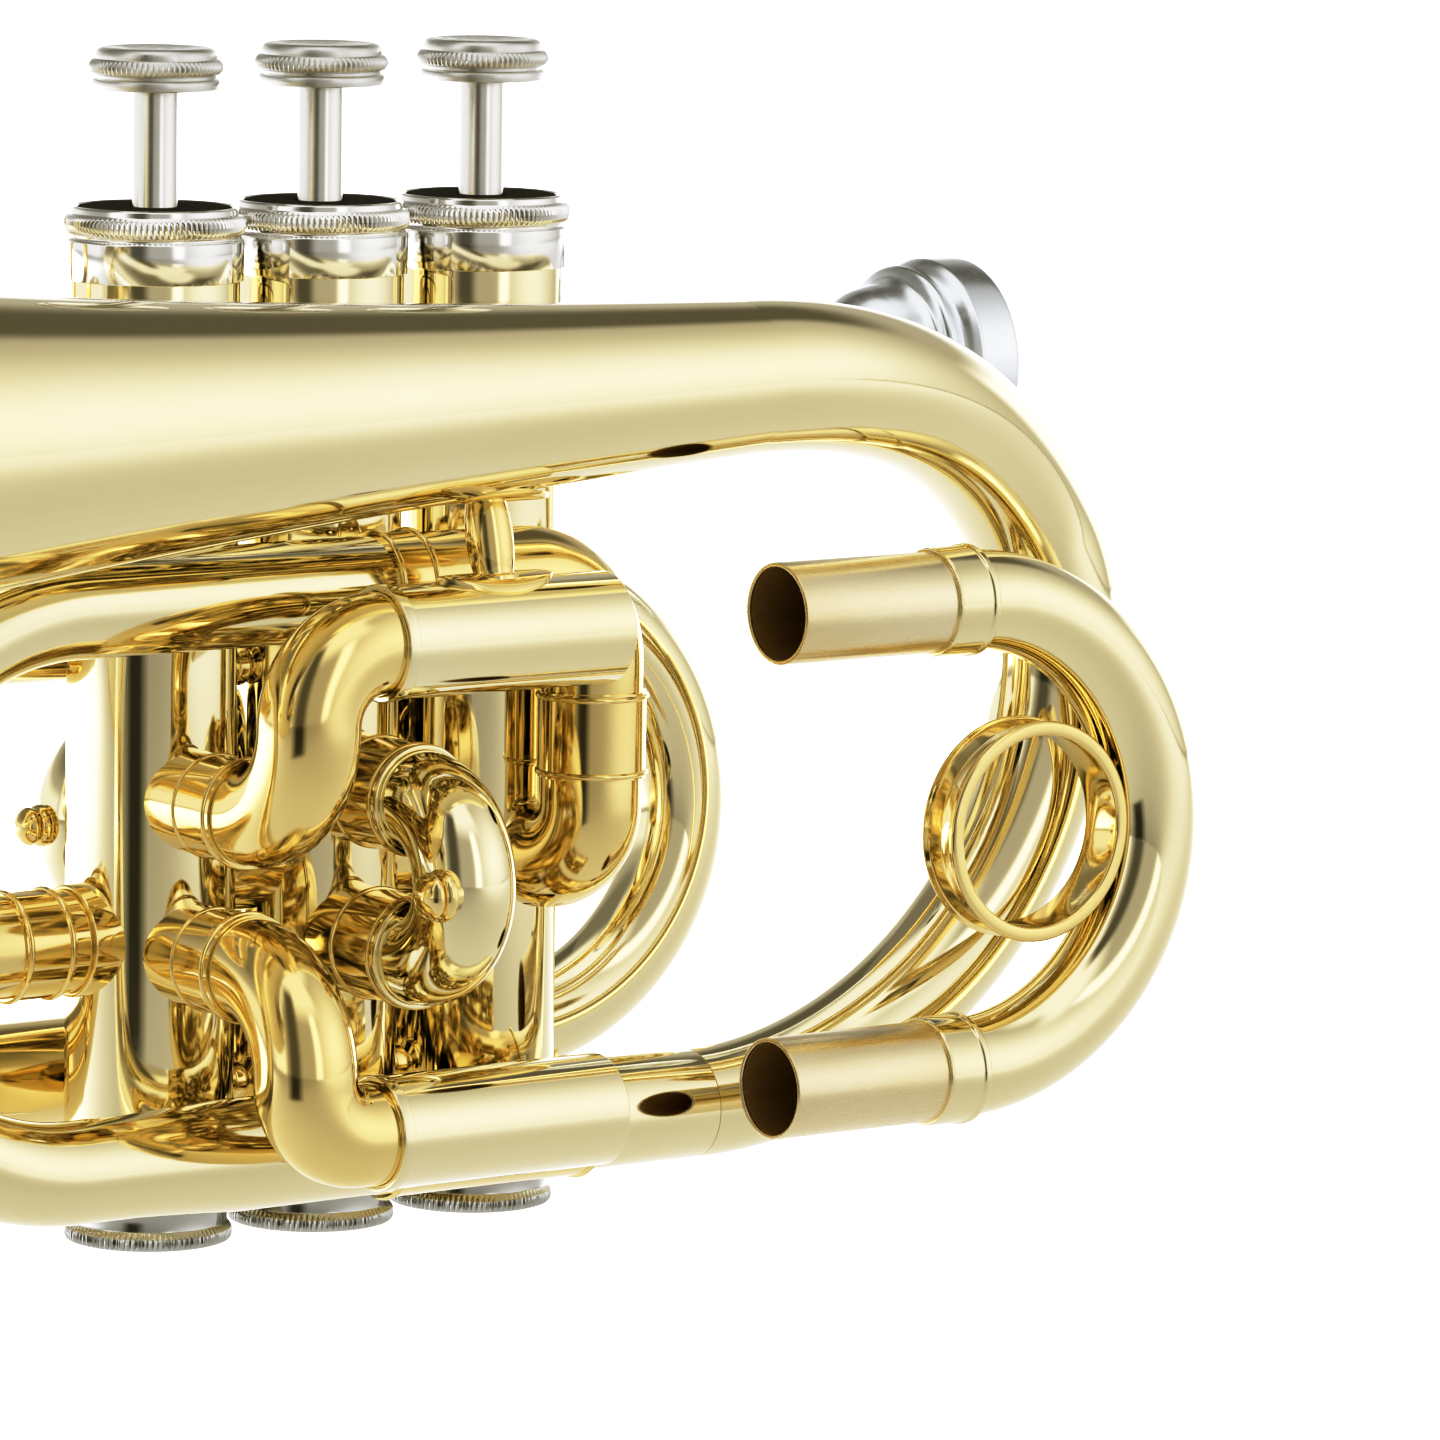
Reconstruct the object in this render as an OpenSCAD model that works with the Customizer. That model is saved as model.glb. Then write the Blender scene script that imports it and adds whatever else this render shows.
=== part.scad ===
// B flat cornet, shepherd's crook form, with the third valve slide drawn off.
// +Z runs up the valves, +X towards the player, -Y is the player's left.
// The origin lies on the middle valve's axis.

/* [Tubing] */
// Outer diameter of the fixed bends and knuckles
bend_od = 12.4; // [12:0.1:12.6]
// Outer diameter of every sliding inner tube
inner_od = 12.6; // [12.5:0.1:12.8]
// Outer diameter of the tubes that the slides run in
outer_od = 13.6; // [13.4:0.1:14]
// Wall thickness of the tubing
wall = 0.5; // [0.4:0.05:0.6]
// Radial running clearance of slides and pistons
run = 0.05; // [0.03:0.01:0.08]

/* [Valves] */
// Distance between neighbouring valve axes
valve_pitch = 23.7; // [23.2:0.1:24.5]
// Outer diameter of a valve casing
casing_od = 20.6; // [20:0.1:21]
// Diameter of the pistons
piston_od = 17.1; // [16.6:0.1:17.4]
// Height of the casing's lower end
casing_low = -59; // [-60:0.5:-58]
// Height of the casing's upper end
casing_top = 57.6; // [57:0.1:58]
// Stroke of a piston
stroke = 13.6; // [12:0.1:13.6]
// Height of a finger button's underside at rest
button_z = 75.5; // [75.5:0.1:77]

/* [Bell] */
// Distance from the bell's rim to the start of its bow
bell_length = 227; // [222:1:232]
// Drop of the bell's axis towards the rim, in degrees
bell_droop = 1.4; // [0:0.1:2]
// Wall thickness of the bell
bell_wall = 0.6; // [0.5:0.05:0.8]

/* [Slides] */
// How far the third slide stands off its outer tubes
third_gap = 25.7; // [0.3:0.1:40]
// Width of the opening between the third slide's legs, axis to axis
third_spread = 58.8; // [58:0.1:59]
// Centre radius of the main tuning bow
tuning_bow_r = 27.6; // [27:0.1:28]

/* [Hidden] */
$fn = 64;

brass = "#d8b45a";
pale_brass = "#d9c07c";
silver = "#d5d7da";
felt = "#24262a";

X = [1, 0, 0];
Y = [0, 1, 0];
Z = [0, 0, 1];
eps = 0.01;

bend_r = bend_od / 2;
inner_r = inner_od / 2;
outer_r = outer_od / 2;
bore_r = inner_r - wall;
slide_bore_r = inner_r + run;
casing_r = casing_od / 2;
piston_r = piston_od / 2;
casing_bore_r = piston_r + run;

// Heights of the valve ports and of the two legs of each valve slide
leg_high = -9.3;
leg_low = -27.9;
first_high = -6.2;
first_low = -24.8;
entry_z = -26.7;
link_z = -18.6;
exit_z = -19.8;
port_r = 5.7;

// Planes of the tubes on the player's left and right
left_y = -17.8;
bell_y = -32;
third_y = -34.4;
right_y = 18;

// Bell bow: half an upper and half a lower ellipse, leaning in to the bottom tube.
// Each pair is the ellipse's reach along X and along Z.
bow_apex_x = 101;
bow_apex_z = 2.9;
bow_upper = [58.4, 37.9];
bow_lower = [56.5, 54.1];
bow_lean_angle = 70;
bow_end_x = bow_apex_x - bow_lower.x;
tail_r = 6.8;
bottom_z = -51.2;

// Front crook, between the top branch and the bottom tube
branch_z = 16.3;
crook_x = -46;
crook_r = (branch_z - bottom_z) / 2;
crook_end_x = 12;
branch_x = -1;
elbow_out = [0.28, -0.96, 0];
elbow_reach = left_y / elbow_out.y;
elbow_x = valve_pitch + elbow_reach * elbow_out.x;
elbow_bend_r = 11;
elbow_joint_z = -3.6;
port_bend_r = 7.5;

// Third slide
third_high = 11.9;
third_low = third_high - third_spread;
knuckle_y = -22.6;
first_turn_r = knuckle_y - third_y;
third_x0 = -14.1;
third_x1 = 18.8;
third_leg = 23.3;
third_bow_x = third_x1 + third_gap + third_leg + 6;
third_bow_r = third_spread / 2;

// Second, first and tuning slides
slide_bow_r = (leg_high - leg_low) / 2;
second_y = -22.8;
first_turn = 7.7;
first_x = valve_pitch - first_turn;
first_end_x = -8;
first_bow_x = -12.3;
tuning_x = 40.1;
tuning_z = -18.7;
tuning_high = tuning_z + tuning_bow_r;
tuning_low = tuning_z - tuning_bow_r;
tuning_end_x = 35.6;
tuning_leg = 44;
leadpipe_z = 35.6;
front_x = -72;
entry_x = -50;

// Mouthpiece and its receiver
mouth_rim_x = 113;
shank_end_x = 45;
receiver_x = 66;

// Lyre socket
lyre_x = -56;
lyre_y = right_y + 12;

// A frame whose local X, Y and Z lie along u, v and u x v, placed at c
module at(c, u, v) {
    w = cross(u, v);
    multmatrix([
        [u.x, v.x, w.x, c.x],
        [u.y, v.y, w.y, c.y],
        [u.z, v.z, w.z, c.z],
        [0, 0, 0, 1]
    ]) children();
}

// Children drawn along +Z, turned to run along an axis from a point
module along(c, axis) {
    side = abs(axis.z) > 0.9 ? X : Z;
    u = cross(side, axis) / norm(cross(side, axis));
    v = cross(axis, u);
    at(c, u, v) children();
}

// A ring or tube of given outer and inner radius, from z0 to z1
module pipe(z0, z1, ro, ri) {
    rotate_extrude()
        translate([ri, z0]) square([ro - ri, z1 - z0]);
}

// A straight tube from c along axis
module tube(c, axis, length, ro, ri) {
    along(c, axis) pipe(0, length, ro, ri);
}

// A hollow bend: c is its centre, u points to its start and v along its start
module bend(c, u, v, radius, ro, ri, angle) {
    at(c, u, v)
        rotate_extrude(angle = angle)
            translate([radius, 0])
                difference() {
                    circle(r = ro);
                    circle(r = ri);
                }
}

// A rounded bead round a tube of radius r
module bead(c, axis, r, size) {
    along(c, axis)
        rotate_extrude()
            difference() {
                translate([r, 0]) circle(r = size, $fn = 24);
                translate([r - 2 * size, -2 * size]) square([2 * size, 4 * size]);
            }
}

// A ferrule with a bead at each end
module ferrule(c, axis, length, ro, ri) {
    tube(c, axis, length, ro, ri);
    bead(c + 0.6 * axis, axis, ro - eps, 0.35);
    bead(c + (length - 0.6) * axis, axis, ro - eps, 0.35);
}

// The outer tube of a slide: a joint socket at its foot, then the running bore
module slide_outer(c, axis, length, socket, socket_r) {
    along(c, axis)
        rotate_extrude()
            polygon([
                [socket_r, 0], [outer_r + 0.25, 0], [outer_r + 0.25, 1.6], [outer_r, 2],
                [outer_r, length], [slide_bore_r, length],
                [slide_bore_r, socket], [socket_r, socket]
            ]);
}

// The solid that a valve casing fills, for cutting a tube's end to its saddle
module casing_solid(x) {
    translate([x, 0, casing_low]) cylinder(r = casing_r, h = casing_top - casing_low);
}

// --- Bell, bow and front crook ---

// Outer radius of the bell at a distance s from its rim
function bell_radius(s) = 267.4 / pow(s + 21.35, 0.39) - 21.65;

// Share of the bow's lean reached at an angle up its curve, and its slope
function bow_share(a) = min(1, max(0, (90 - a) / bow_lean_angle));
function bow_lean(a) = let (q = bow_share(a)) q * q * (3 - 2 * q);
function bow_reach(a) = a > 0 ? bow_upper : bow_lower;
function bow_point(a) = [
    bow_apex_x - bow_reach(a).x * (1 - cos(a)),
    bell_y + (left_y - bell_y) * bow_lean(a),
    bow_apex_z + bow_reach(a).y * sin(a)
];
function bow_way(a) =
    let (q = bow_share(a),
         way = [
             bow_reach(a).x * sin(a),
             (left_y - bell_y) * 6 * q * (1 - q) * 180 / (PI * bow_lean_angle),
             -bow_reach(a).y * cos(a)
         ])
    way / norm(way);
bow_start = 90 + atan(tan(bell_droop) * bow_upper.x / bow_upper.y);
bell_base = bow_point(bow_start);
bell_axis = [-cos(bell_droop), 0, -sin(bell_droop)];

module bell() {
    steps = 26;
    outline = [for (i = [0 : steps])
        let (s = 1 + (bell_length - 1) * pow(i / steps, 1.9))
            [bell_radius(s), bell_length - s]];
    inside = [for (i = [steps : -1 : 0]) outline[i] - [bell_wall, 0]];
    color(pale_brass)
        along(bell_base, bell_axis)
            rotate_extrude($fn = 96)
                polygon(concat(outline, inside));
}

module bell_rim_wire() {
    rim_r = bell_radius(1);
    color(brass)
        along(bell_base, bell_axis)
            translate([0, 0, bell_length - 1])
                rotate_extrude($fn = 96)
                    difference() {
                        translate([rim_r - bell_wall / 2, 1]) circle(r = 1.15, $fn = 24);
                        translate([rim_r - 4, -4]) square([8, 4]);
                    }
}

// The bell bow is a hollow tapered sweep along its leaning curve
module bell_bow() {
    rings = 30;
    sides = 32;
    r0 = bell_radius(bell_length);
    swing = 90 + bow_start;
    function ring(i, inset) =
        let (a = bow_start - swing * i / rings,
             r = r0 + (tail_r - r0) * i / rings - inset,
             way = bow_way(a),
             out = cross(way, Y) / norm(cross(way, Y)),
             side = cross(out, way))
        [for (k = [0 : sides - 1])
            let (t = 360 * k / sides) bow_point(a) + r * cos(t) * out + r * sin(t) * side];
    outer = [for (i = [0 : rings]) ring(i, 0)];
    inner = [for (i = [0 : rings]) ring(i, wall + 0.1)];
    points = [for (layer = [outer, inner]) for (loop = layer) for (p = loop) p];
    base = (rings + 1) * sides;
    function quad(a, b, c, d) = [[a, b, c], [a, c, d]];
    skin = [for (i = [0 : rings - 1]) for (k = [0 : sides - 1])
        let (m = (k + 1) % sides)
            each quad(i * sides + k, i * sides + m, (i + 1) * sides + m, (i + 1) * sides + k)];
    lining = [for (f = skin) [base + f[2], base + f[1], base + f[0]]];
    mouth = [for (k = [0 : sides - 1])
        let (m = (k + 1) % sides) each quad(base + k, base + m, m, k)];
    last = rings * sides;
    foot = [for (k = [0 : sides - 1])
        let (m = (k + 1) % sides)
            each quad(last + k, last + m, base + last + m, base + last + k)];
    color(pale_brass) polyhedron(points, concat(skin, lining, mouth, foot), convexity = 6);
}

module bell_tail() {
    color(pale_brass)
        tube([crook_end_x, left_y, bottom_z], X, bow_end_x - crook_end_x, tail_r, tail_r - wall);
}

module bell_sleeve() {
    color(brass) ferrule([-2.5, left_y, bottom_z], X, 29.5, tail_r + 0.45, tail_r);
}

module front_crook() {
    r = tail_r;
    length = branch_x - crook_x;
    color(pale_brass) {
        tube([crook_x, left_y, branch_z], X, length, bend_r, bend_r - wall);
        bend([crook_x, left_y, branch_z - crook_r], Z, -X, crook_r, bend_r, bend_r - wall, 90);
        bend([crook_x, left_y, branch_z - crook_r], -X, -Z, crook_r, bend_r, bend_r - wall, 90);
        tube([crook_x, left_y, bottom_z], X, 8, bend_r, bend_r - wall);
        along([crook_x + 8, left_y, bottom_z], X)
            rotate_extrude()
                polygon([
                    [bend_r - wall, 0], [bend_r, 0], [r, 14], [r, crook_end_x - crook_x - 8],
                    [r - wall, crook_end_x - crook_x - 8], [r - wall, 14]
                ]);
    }
}

module top_branch() {
    turn_x = elbow_x - elbow_bend_r;
    turn_z = branch_z - elbow_bend_r;
    color(brass) {
        tube([branch_x, left_y, branch_z], X, turn_x - branch_x, bend_r, bend_r - wall);
        bend([turn_x, left_y, turn_z], Z, X, elbow_bend_r, bend_r, bend_r - wall, 90);
        tube([elbow_x, left_y, turn_z], -Z, turn_z - elbow_joint_z, bend_r, bend_r - wall);
        ferrule([branch_x - 3, left_y, branch_z], X, 6, bend_r + 0.4, bend_r);
    }
}

module elbow_sleeve() {
    color(brass) ferrule([elbow_x, left_y, 1.7], -Z, 10.6, bend_r + 0.45, bend_r);
}

module valve1_elbow() {
    inward = -elbow_out;
    turn_z = exit_z + port_bend_r;
    turn = [elbow_x, left_y, turn_z];
    color(brass)
        difference() {
            union() {
                tube([elbow_x, left_y, elbow_joint_z], -Z, elbow_joint_z - turn_z,
                    bend_r, bend_r - wall);
                bend(turn + port_bend_r * inward, -inward, -Z, port_bend_r,
                    bend_r, bend_r - wall, 90);
                tube(turn + port_bend_r * inward - port_bend_r * Z, inward,
                    elbow_reach - port_bend_r - 6, bend_r, bend_r - wall);
            }
            casing_solid(valve_pitch);
        }
}

// --- Leadpipe, main tuning slide and valve entry ---

module leadpipe() {
    length = shank_end_x - 2 - front_x;
    color(pale_brass)
        along([shank_end_x - 1, right_y, leadpipe_z], -X)
            rotate_extrude()
                polygon([
                    [4.4, 0], [4.9, 0], [5.6, 40], [bend_r, length], [bend_r - wall, length],
                    [5.1, 40]
                ]);
}

module receiver() {
    start = 36;
    reach = receiver_x - start;
    color(brass)
        difference() {
            along([start, right_y, leadpipe_z], X)
                rotate_extrude()
                    polygon([
                        [5.4, 0], [5.9, 0], [6, 3], [6, reach - 7], [6.9, reach - 6],
                        [6.9, reach - 1], [6.3, reach], [4.97, reach],
                        [4.35, shank_end_x - start - 1], [4.35, 7], [5.4, 7]
                    ]);
            along([shank_end_x - 1, right_y, leadpipe_z], -X)
                rotate_extrude()
                    polygon([[0, -0.02], [4.9, -0.02], [5.6, 40], [0, 40]]);
        }
}

module leadpipe_bend() {
    r = (leadpipe_z - tuning_high) / 2;
    centre = [front_x, right_y, tuning_high + r];
    color(pale_brass) {
        bend(centre, Z, -X, r, bend_r, bend_r - wall, 90);
        bend(centre, -X, -Z, r, bend_r, bend_r - wall, 90);
        tube([front_x, right_y, leadpipe_z], X, 1, bend_r + 0.4, bend_r - wall);
        ferrule([front_x, right_y, leadpipe_z], X, 7, bend_r + 0.4, bend_r);
    }
}

module tuning_outer_tubes() {
    socket_r = bend_r - wall;
    upper = tuning_end_x - front_x;
    lower = tuning_end_x - entry_x;
    reach = tuning_leg + 6;
    color(brass) {
        slide_outer([front_x, right_y, tuning_high], X, upper, upper - reach, socket_r);
        slide_outer([entry_x, right_y, tuning_low], X, lower, lower - reach, socket_r);
    }
}

// The crook from the tuning slide's lower tube across to the third valve's entry
module entry_crook() {
    start = [entry_x, right_y, tuning_low];
    finish = [entry_x, 0, entry_z];
    r = norm(finish - start) / 2;
    mid = (start + finish) / 2;
    out = (start - finish) / norm(start - finish);
    color(brass) {
        bend(mid, out, -X, r, bend_r, bend_r - wall, 90);
        bend(mid, -X, -out, r, bend_r, bend_r - wall, 90);
    }
}

module entry_tube() {
    color(brass)
        difference() {
            union() {
                tube([entry_x, 0, entry_z], X, 28, bend_r, bend_r - wall);
                ferrule([entry_x + 5, 0, entry_z], X, 7, bend_r + 0.35, bend_r - eps);
                tube([-valve_pitch - casing_r - 1.6, 0, entry_z], X, 6, bend_r + 0.6, bend_r - eps);
            }
            casing_solid(-valve_pitch);
        }
}

// --- Valve casings and what is soldered to them ---

// A port drilled from the casing's axis outwards
module port(x, z, axis) {
    along([x, 0, z], axis) cylinder(r = port_r, h = casing_r + 2);
}

module casing_shell(x) {
    along([x, 0, casing_low], Z)
        rotate_extrude()
            polygon([
                [casing_bore_r, 0], [casing_r, 0], [casing_r, casing_top - casing_low],
                [casing_bore_r, casing_top - casing_low]
            ]);
}

module casing_1() {
    color(brass)
        difference() {
            casing_shell(valve_pitch);
            port(valve_pitch, link_z, -X);
            port(valve_pitch, exit_z, elbow_out);
            port(valve_pitch, first_high, Y);
            port(valve_pitch, first_low, Y);
        }
}

module casing_2() {
    color(brass)
        difference() {
            casing_shell(0);
            port(0, link_z, X);
            port(0, link_z, -X);
            port(0, leg_high, -Y);
            port(0, leg_low, -Y);
        }
}

module casing_3() {
    color(brass)
        difference() {
            casing_shell(-valve_pitch);
            port(-valve_pitch, entry_z, -X);
            port(-valve_pitch, link_z, X);
            port(-valve_pitch, leg_high, -Y);
            port(-valve_pitch, leg_low, -Y);
        }
}

// Connecting tubes and turned tie posts between neighbouring casings
module casing_links() {
    gap = valve_pitch - casing_od;
    color(brass)
        for (side = [-1, 1]) {
            x = side * valve_pitch / 2;
            difference() {
                union() {
                    tube([x - gap, 0, link_z], X, 2 * gap, bend_r, port_r);
                    for (z = [5.5, 38, -46])
                        translate([x, 0, z]) rotate([0, 90, 0]) {
                            cylinder(r = 1.7, h = 2 * gap, center = true);
                            cylinder(r = 2.7, h = 0.9, center = true);
                        }
                }
                casing_solid(x - valve_pitch / 2);
                casing_solid(x + valve_pitch / 2);
            }
        }
}

// Short stubs that carry the third slide's tubes out to the player's left
module third_knuckles() {
    color(brass)
        for (z = [leg_high, leg_low])
            difference() {
                union() {
                    tube([-valve_pitch, -6, z], -Y, -6 - knuckle_y, bend_r, bend_r - wall);
                    tube([-valve_pitch, knuckle_y + 2.2, z], -Y, 2.2, bend_r + 0.35, bend_r - 0.1);
                    bead([-valve_pitch, -14.5, z], -Y, bend_r - 0.05, 0.25);
                    bead([-valve_pitch, knuckle_y + 1.1, z], -Y, bend_r + 0.3, 0.3);
                }
                casing_solid(-valve_pitch);
            }
}

// One turn out of the casing's plane and one along it, to a third-slide tube
module third_bend(knuckle_z, tube_z) {
    rise = tube_z > knuckle_z ? Z : -Z;
    second_r = abs(tube_z - knuckle_z) - first_turn_r;
    base = [-valve_pitch, knuckle_y, knuckle_z];
    corner = [-valve_pitch, third_y, tube_z];
    bend(base + first_turn_r * rise, -rise, -Y, first_turn_r, bend_r, bend_r - wall, 90);
    bend(corner - second_r * rise + second_r * X, -X, rise, second_r,
        bend_r, bend_r - wall, 90);
    tube(corner + second_r * X, X, third_x0 + 4 + valve_pitch - second_r,
        bend_r, bend_r - wall);
}

module third_bends() {
    color(brass) {
        third_bend(leg_high, third_high);
        third_bend(leg_low, third_low);
    }
}

module third_outer_tubes() {
    color(pale_brass)
        for (z = [third_high, third_low])
            slide_outer([third_x0, third_y, z], X, third_x1 - third_x0, 4.5, bend_r);
}

module second_outer_tubes() {
    color(brass)
        for (z = [leg_high, leg_low])
            difference() {
                union() {
                    tube([0, -6, z], -Y, -6 - second_y, bend_r + 0.5, slide_bore_r);
                    bead([0, -14, z], -Y, bend_r + 0.45, 0.25);
                    bead([0, second_y + 1, z], -Y, bend_r + 0.45, 0.35);
                }
                casing_solid(0);
            }
}

// Turns from the first valve back along the player's right
module first_bends() {
    color(brass)
        for (z = [first_high, first_low])
            difference() {
                union() {
                    tube([valve_pitch, 6, z], Y, right_y - first_turn - 6, bend_r, bend_r - wall);
                    bend([first_x, right_y - first_turn, z], X, Y, first_turn,
                        bend_r, bend_r - wall, 90);
                    tube([first_x, right_y, z], -X, 3, bend_r, bend_r - wall);
                }
                casing_solid(valve_pitch);
            }
}

module first_outer_tubes() {
    color(brass)
        for (z = [first_high, first_low])
            slide_outer([first_x, right_y, z], -X, first_x - first_end_x, 3, bend_r);
}

// A thin pointed saddle wrapped on a tube along X, on the side given by up
module saddle(c, r, up) {
    thickness = 0.8;
    intersection() {
        tube(c - 9 * X, X, 18, r + thickness, r);
        translate(c)
            intersection_for (s = [-1, 1])
                translate([0, s * 9, up > 0 ? 0 : -r - 4])
                    cylinder(r = 12.6, h = r + 4);
    }
}

// Turned post with pointed saddles between the bell and the third slide
module bell_brace() {
    x = 2.6;
    post_low = third_high + outer_r + 0.4;
    s = bell_length - (bell_base.x - x);
    bell_z = bell_base.z - (bell_base.x - x) * tan(bell_droop);
    post_top = bell_z - bell_radius(s) - 0.4;
    mid = (post_low + post_top) / 2;
    half = (post_top - post_low) / 2;
    color(brass)
        difference() {
            union() {
                saddle([x, third_y, third_high], outer_r, 1);
                intersection() {
                    along(bell_base, bell_axis)
                        translate([0, 0, bell_base.x - x - 9])
                            cylinder(r = bell_radius(s) + 1.1, h = 18);
                    translate([x, bell_y, bell_z - 18])
                        intersection_for (t = [-1, 1])
                            translate([0, t * 9, 0]) cylinder(r = 12.6, h = 18);
                }
                translate([x, (bell_y + third_y) / 2, mid])
                    rotate_extrude()
                        polygon([
                            [0, -half], [2.5, -half], [3, -half * 0.55], [3.2, 0],
                            [3, half * 0.55], [2.5, half], [0, half]
                        ]);
            }
            along(bell_base, bell_axis) bell_core();
            tube([x - 20, third_y, third_high], X, 40, outer_r, 0);
        }
}

// The bell's solid outer form, for cutting what is soldered to it
module bell_core() {
    steps = 26;
    outline = [for (i = [0 : steps])
        let (s = 1 + (bell_length - 1) * pow(i / steps, 1.9))
            [bell_radius(s), bell_length - s]];
    rotate_extrude($fn = 96) polygon(concat(outline, [[0, 0], [0, bell_length - 1]]));
}

// Short posts and plates that hold the right-hand tubes and the bottom tube
module pipe_braces() {
    color(brass) {
        for (x = [-valve_pitch, valve_pitch])
            difference() {
                union() {
                    translate([x, 6, leadpipe_z]) rotate([-90, 0, 0]) cylinder(r = 2.4, h = 8);
                    translate([x, 10.2, leadpipe_z]) rotate([-90, 0, 0]) cylinder(r = 4, h = 1);
                }
                casing_solid(x);
                tube([x - 12, right_y, leadpipe_z], X, 24, 6.3, 0);
            }
        difference() {
            translate([-30, right_y, tuning_high + outer_r - 1])
                cylinder(r = 2, h = leadpipe_z - tuning_high - outer_r - 4);
            tube([-40, right_y, tuning_high], X, 20, outer_r, 0);
            tube([-40, right_y, leadpipe_z], X, 20, 6.3, 0);
        }
    }
}

// Hook for the right little finger, standing on the leadpipe
module pinky_hook() {
    color(brass)
        difference() {
            translate([-46, right_y, leadpipe_z]) {
                translate([-9, -3, 5.5]) cube([22, 6, 2]);
                translate([-1, 3, 17])
                    rotate([90, 0, 0])
                        rotate_extrude(angle = 250)
                            translate([8.5, 0]) square([2, 6]);
                translate([8, -3, 6]) cube([1.9, 6, 11.2]);
            }
            tube([-60, right_y, leadpipe_z], X, 30, 6.3, 0);
        }
}

module lyre_holder() {
    color(brass)
        difference() {
            union() {
                translate([lyre_x, lyre_y, leadpipe_z - 6]) cylinder(r = 4.4, h = 12);
                translate([lyre_x - 3, right_y, leadpipe_z - 3]) cube([6, 10, 6]);
                translate([lyre_x, lyre_y + 3, leadpipe_z])
                    rotate([-90, 0, 0]) cylinder(r = 3, h = 3.5);
            }
            translate([lyre_x, lyre_y, leadpipe_z - 7]) cylinder(r = 2.2, h = 14);
            translate([lyre_x, lyre_y, leadpipe_z])
                rotate([-90, 0, 0]) cylinder(r = 1.55, h = 10);
            tube([lyre_x - 12, right_y, leadpipe_z], X, 24, 6.3, 0);
        }
}

module lyre_screw() {
    color(silver)
        translate([lyre_x, lyre_y, leadpipe_z])
            rotate([-90, 0, 0]) {
                translate([0, 0, 2.3]) cylinder(r = 1.5, h = 6);
                translate([0, 0, 7]) cylinder(r = 4.2, h = 3);
            }
}

// --- Caps, felts and valve works ---

module for_valves() {
    for (x = [valve_pitch, 0, -valve_pitch]) translate([x, 0, 0]) children();
}

module top_caps() {
    color(silver)
        for_valves()
            rotate_extrude()
                polygon([
                    [casing_r, 52.7], [10.75, 52.7], [10.75, 57.6], [10.35, 57.9],
                    [10.35, 58.3], [10.8, 58.5], [10.95, 59.4], [10.8, 60.4], [10.3, 60.8],
                    [10.1, 61.5], [9.8, 61.6], [9.3, 61.3], [9.3, 60.6], [2.8, 60.6],
                    [2.8, casing_top], [casing_r, casing_top]
                ]);
}

module cap_felts() {
    color(felt)
        for_valves() pipe(60.6, 61.2, 9.3, 2.9);
}

module bottom_caps() {
    plug = casing_bore_r;
    color(silver)
        for_valves()
            rotate_extrude()
                polygon([
                    [0, -61.2], [0, -63.6], [1.6, -65], [2.6, -64.6], [3.4, -63.6],
                    [8.6, -64.1], [9.6, -64.2], [10.25, -63.8], [10.25, -62.5], [9.7, -62.2],
                    [9.5, -61.6], [9.6, casing_low - 0.6], [casing_r, casing_low - 0.5],
                    [casing_r, casing_low], [plug, casing_low], [plug, casing_low + 4],
                    [plug - 1.2, casing_low + 4], [plug - 1.2, -61.2]
                ]);
}

passage_r = 4.6;
guide_z = 8;
barrel_top = 47;
body_top = 5;
body_low = -40;

// A cross bar keyed in the casing that the valve spring stands on
module valve_guides() {
    color(silver)
        for_valves()
            intersection() {
                union() {
                    translate([-10, -1.6, guide_z]) cube([20, 3.2, 2]);
                    translate([0, 0, guide_z]) cylinder(r = 5.5, h = 2);
                }
                translate([0, 0, guide_z]) cylinder(r = casing_bore_r, h = 2);
            }
}

// A piston: its ported body below and the spring barrel above
module piston(x) {
    slot = 2 + stroke + 1;
    translate([x, 0, 0])
        difference() {
            translate([0, 0, body_low]) cylinder(r = piston_r, h = barrel_top - body_low);
            translate([0, 0, body_top]) cylinder(r = piston_r - 1, h = barrel_top - body_top - 2.5);
            translate([-10, -1.7, guide_z - 0.5]) cube([20, 3.4, slot]);
            translate([0, 0, barrel_top - 4]) cylinder(r = 1.6, h = 6);
            along([-12, 0, link_z], X) cylinder(r = passage_r, h = 24);
            for (z = [leg_high, leg_low])
                along([0, 12, z], -Y) cylinder(r = passage_r, h = 24);
        }
}

module piston_1() { color(silver) piston(valve_pitch); }
module piston_2() { color(silver) piston(0); }
module piston_3() { color(silver) piston(-valve_pitch); }

module stem(x) {
    color(silver)
        translate([x, 0, 0])
            rotate_extrude()
                polygon([
                    [0, barrel_top - 3], [1.6, barrel_top - 3], [1.6, barrel_top],
                    [5, barrel_top], [5, barrel_top + 1], [2.73, barrel_top + 1],
                    [2.73, button_z], [1.5, button_z], [1.5, button_z + 3], [0, button_z + 3]
                ]);
}

module stem_1() { stem(valve_pitch); }
module stem_2() { stem(0); }
module stem_3() { stem(-valve_pitch); }

// A finger button with a dished top, a milled bead and a lower flange
module button(x) {
    color(silver)
        translate([x, 0, button_z])
            rotate_extrude()
                polygon([
                    [1.5, 0], [7.5, 0], [7.65, 0.25], [7.65, 1.1], [7.2, 1.4], [7.2, 1.7],
                    [7.85, 1.9], [8.1, 2.7], [7.85, 3.5], [7.5, 3.7], [7.4, 4.3],
                    [7, 4.85], [6.3, 5.05], [4.5, 4.8], [2.2, 4.6], [0, 4.55],
                    [0, 3], [1.5, 3]
                ]);
}

module button_1() { button(valve_pitch); }
module button_2() { button(0); }
module button_3() { button(-valve_pitch); }

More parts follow.
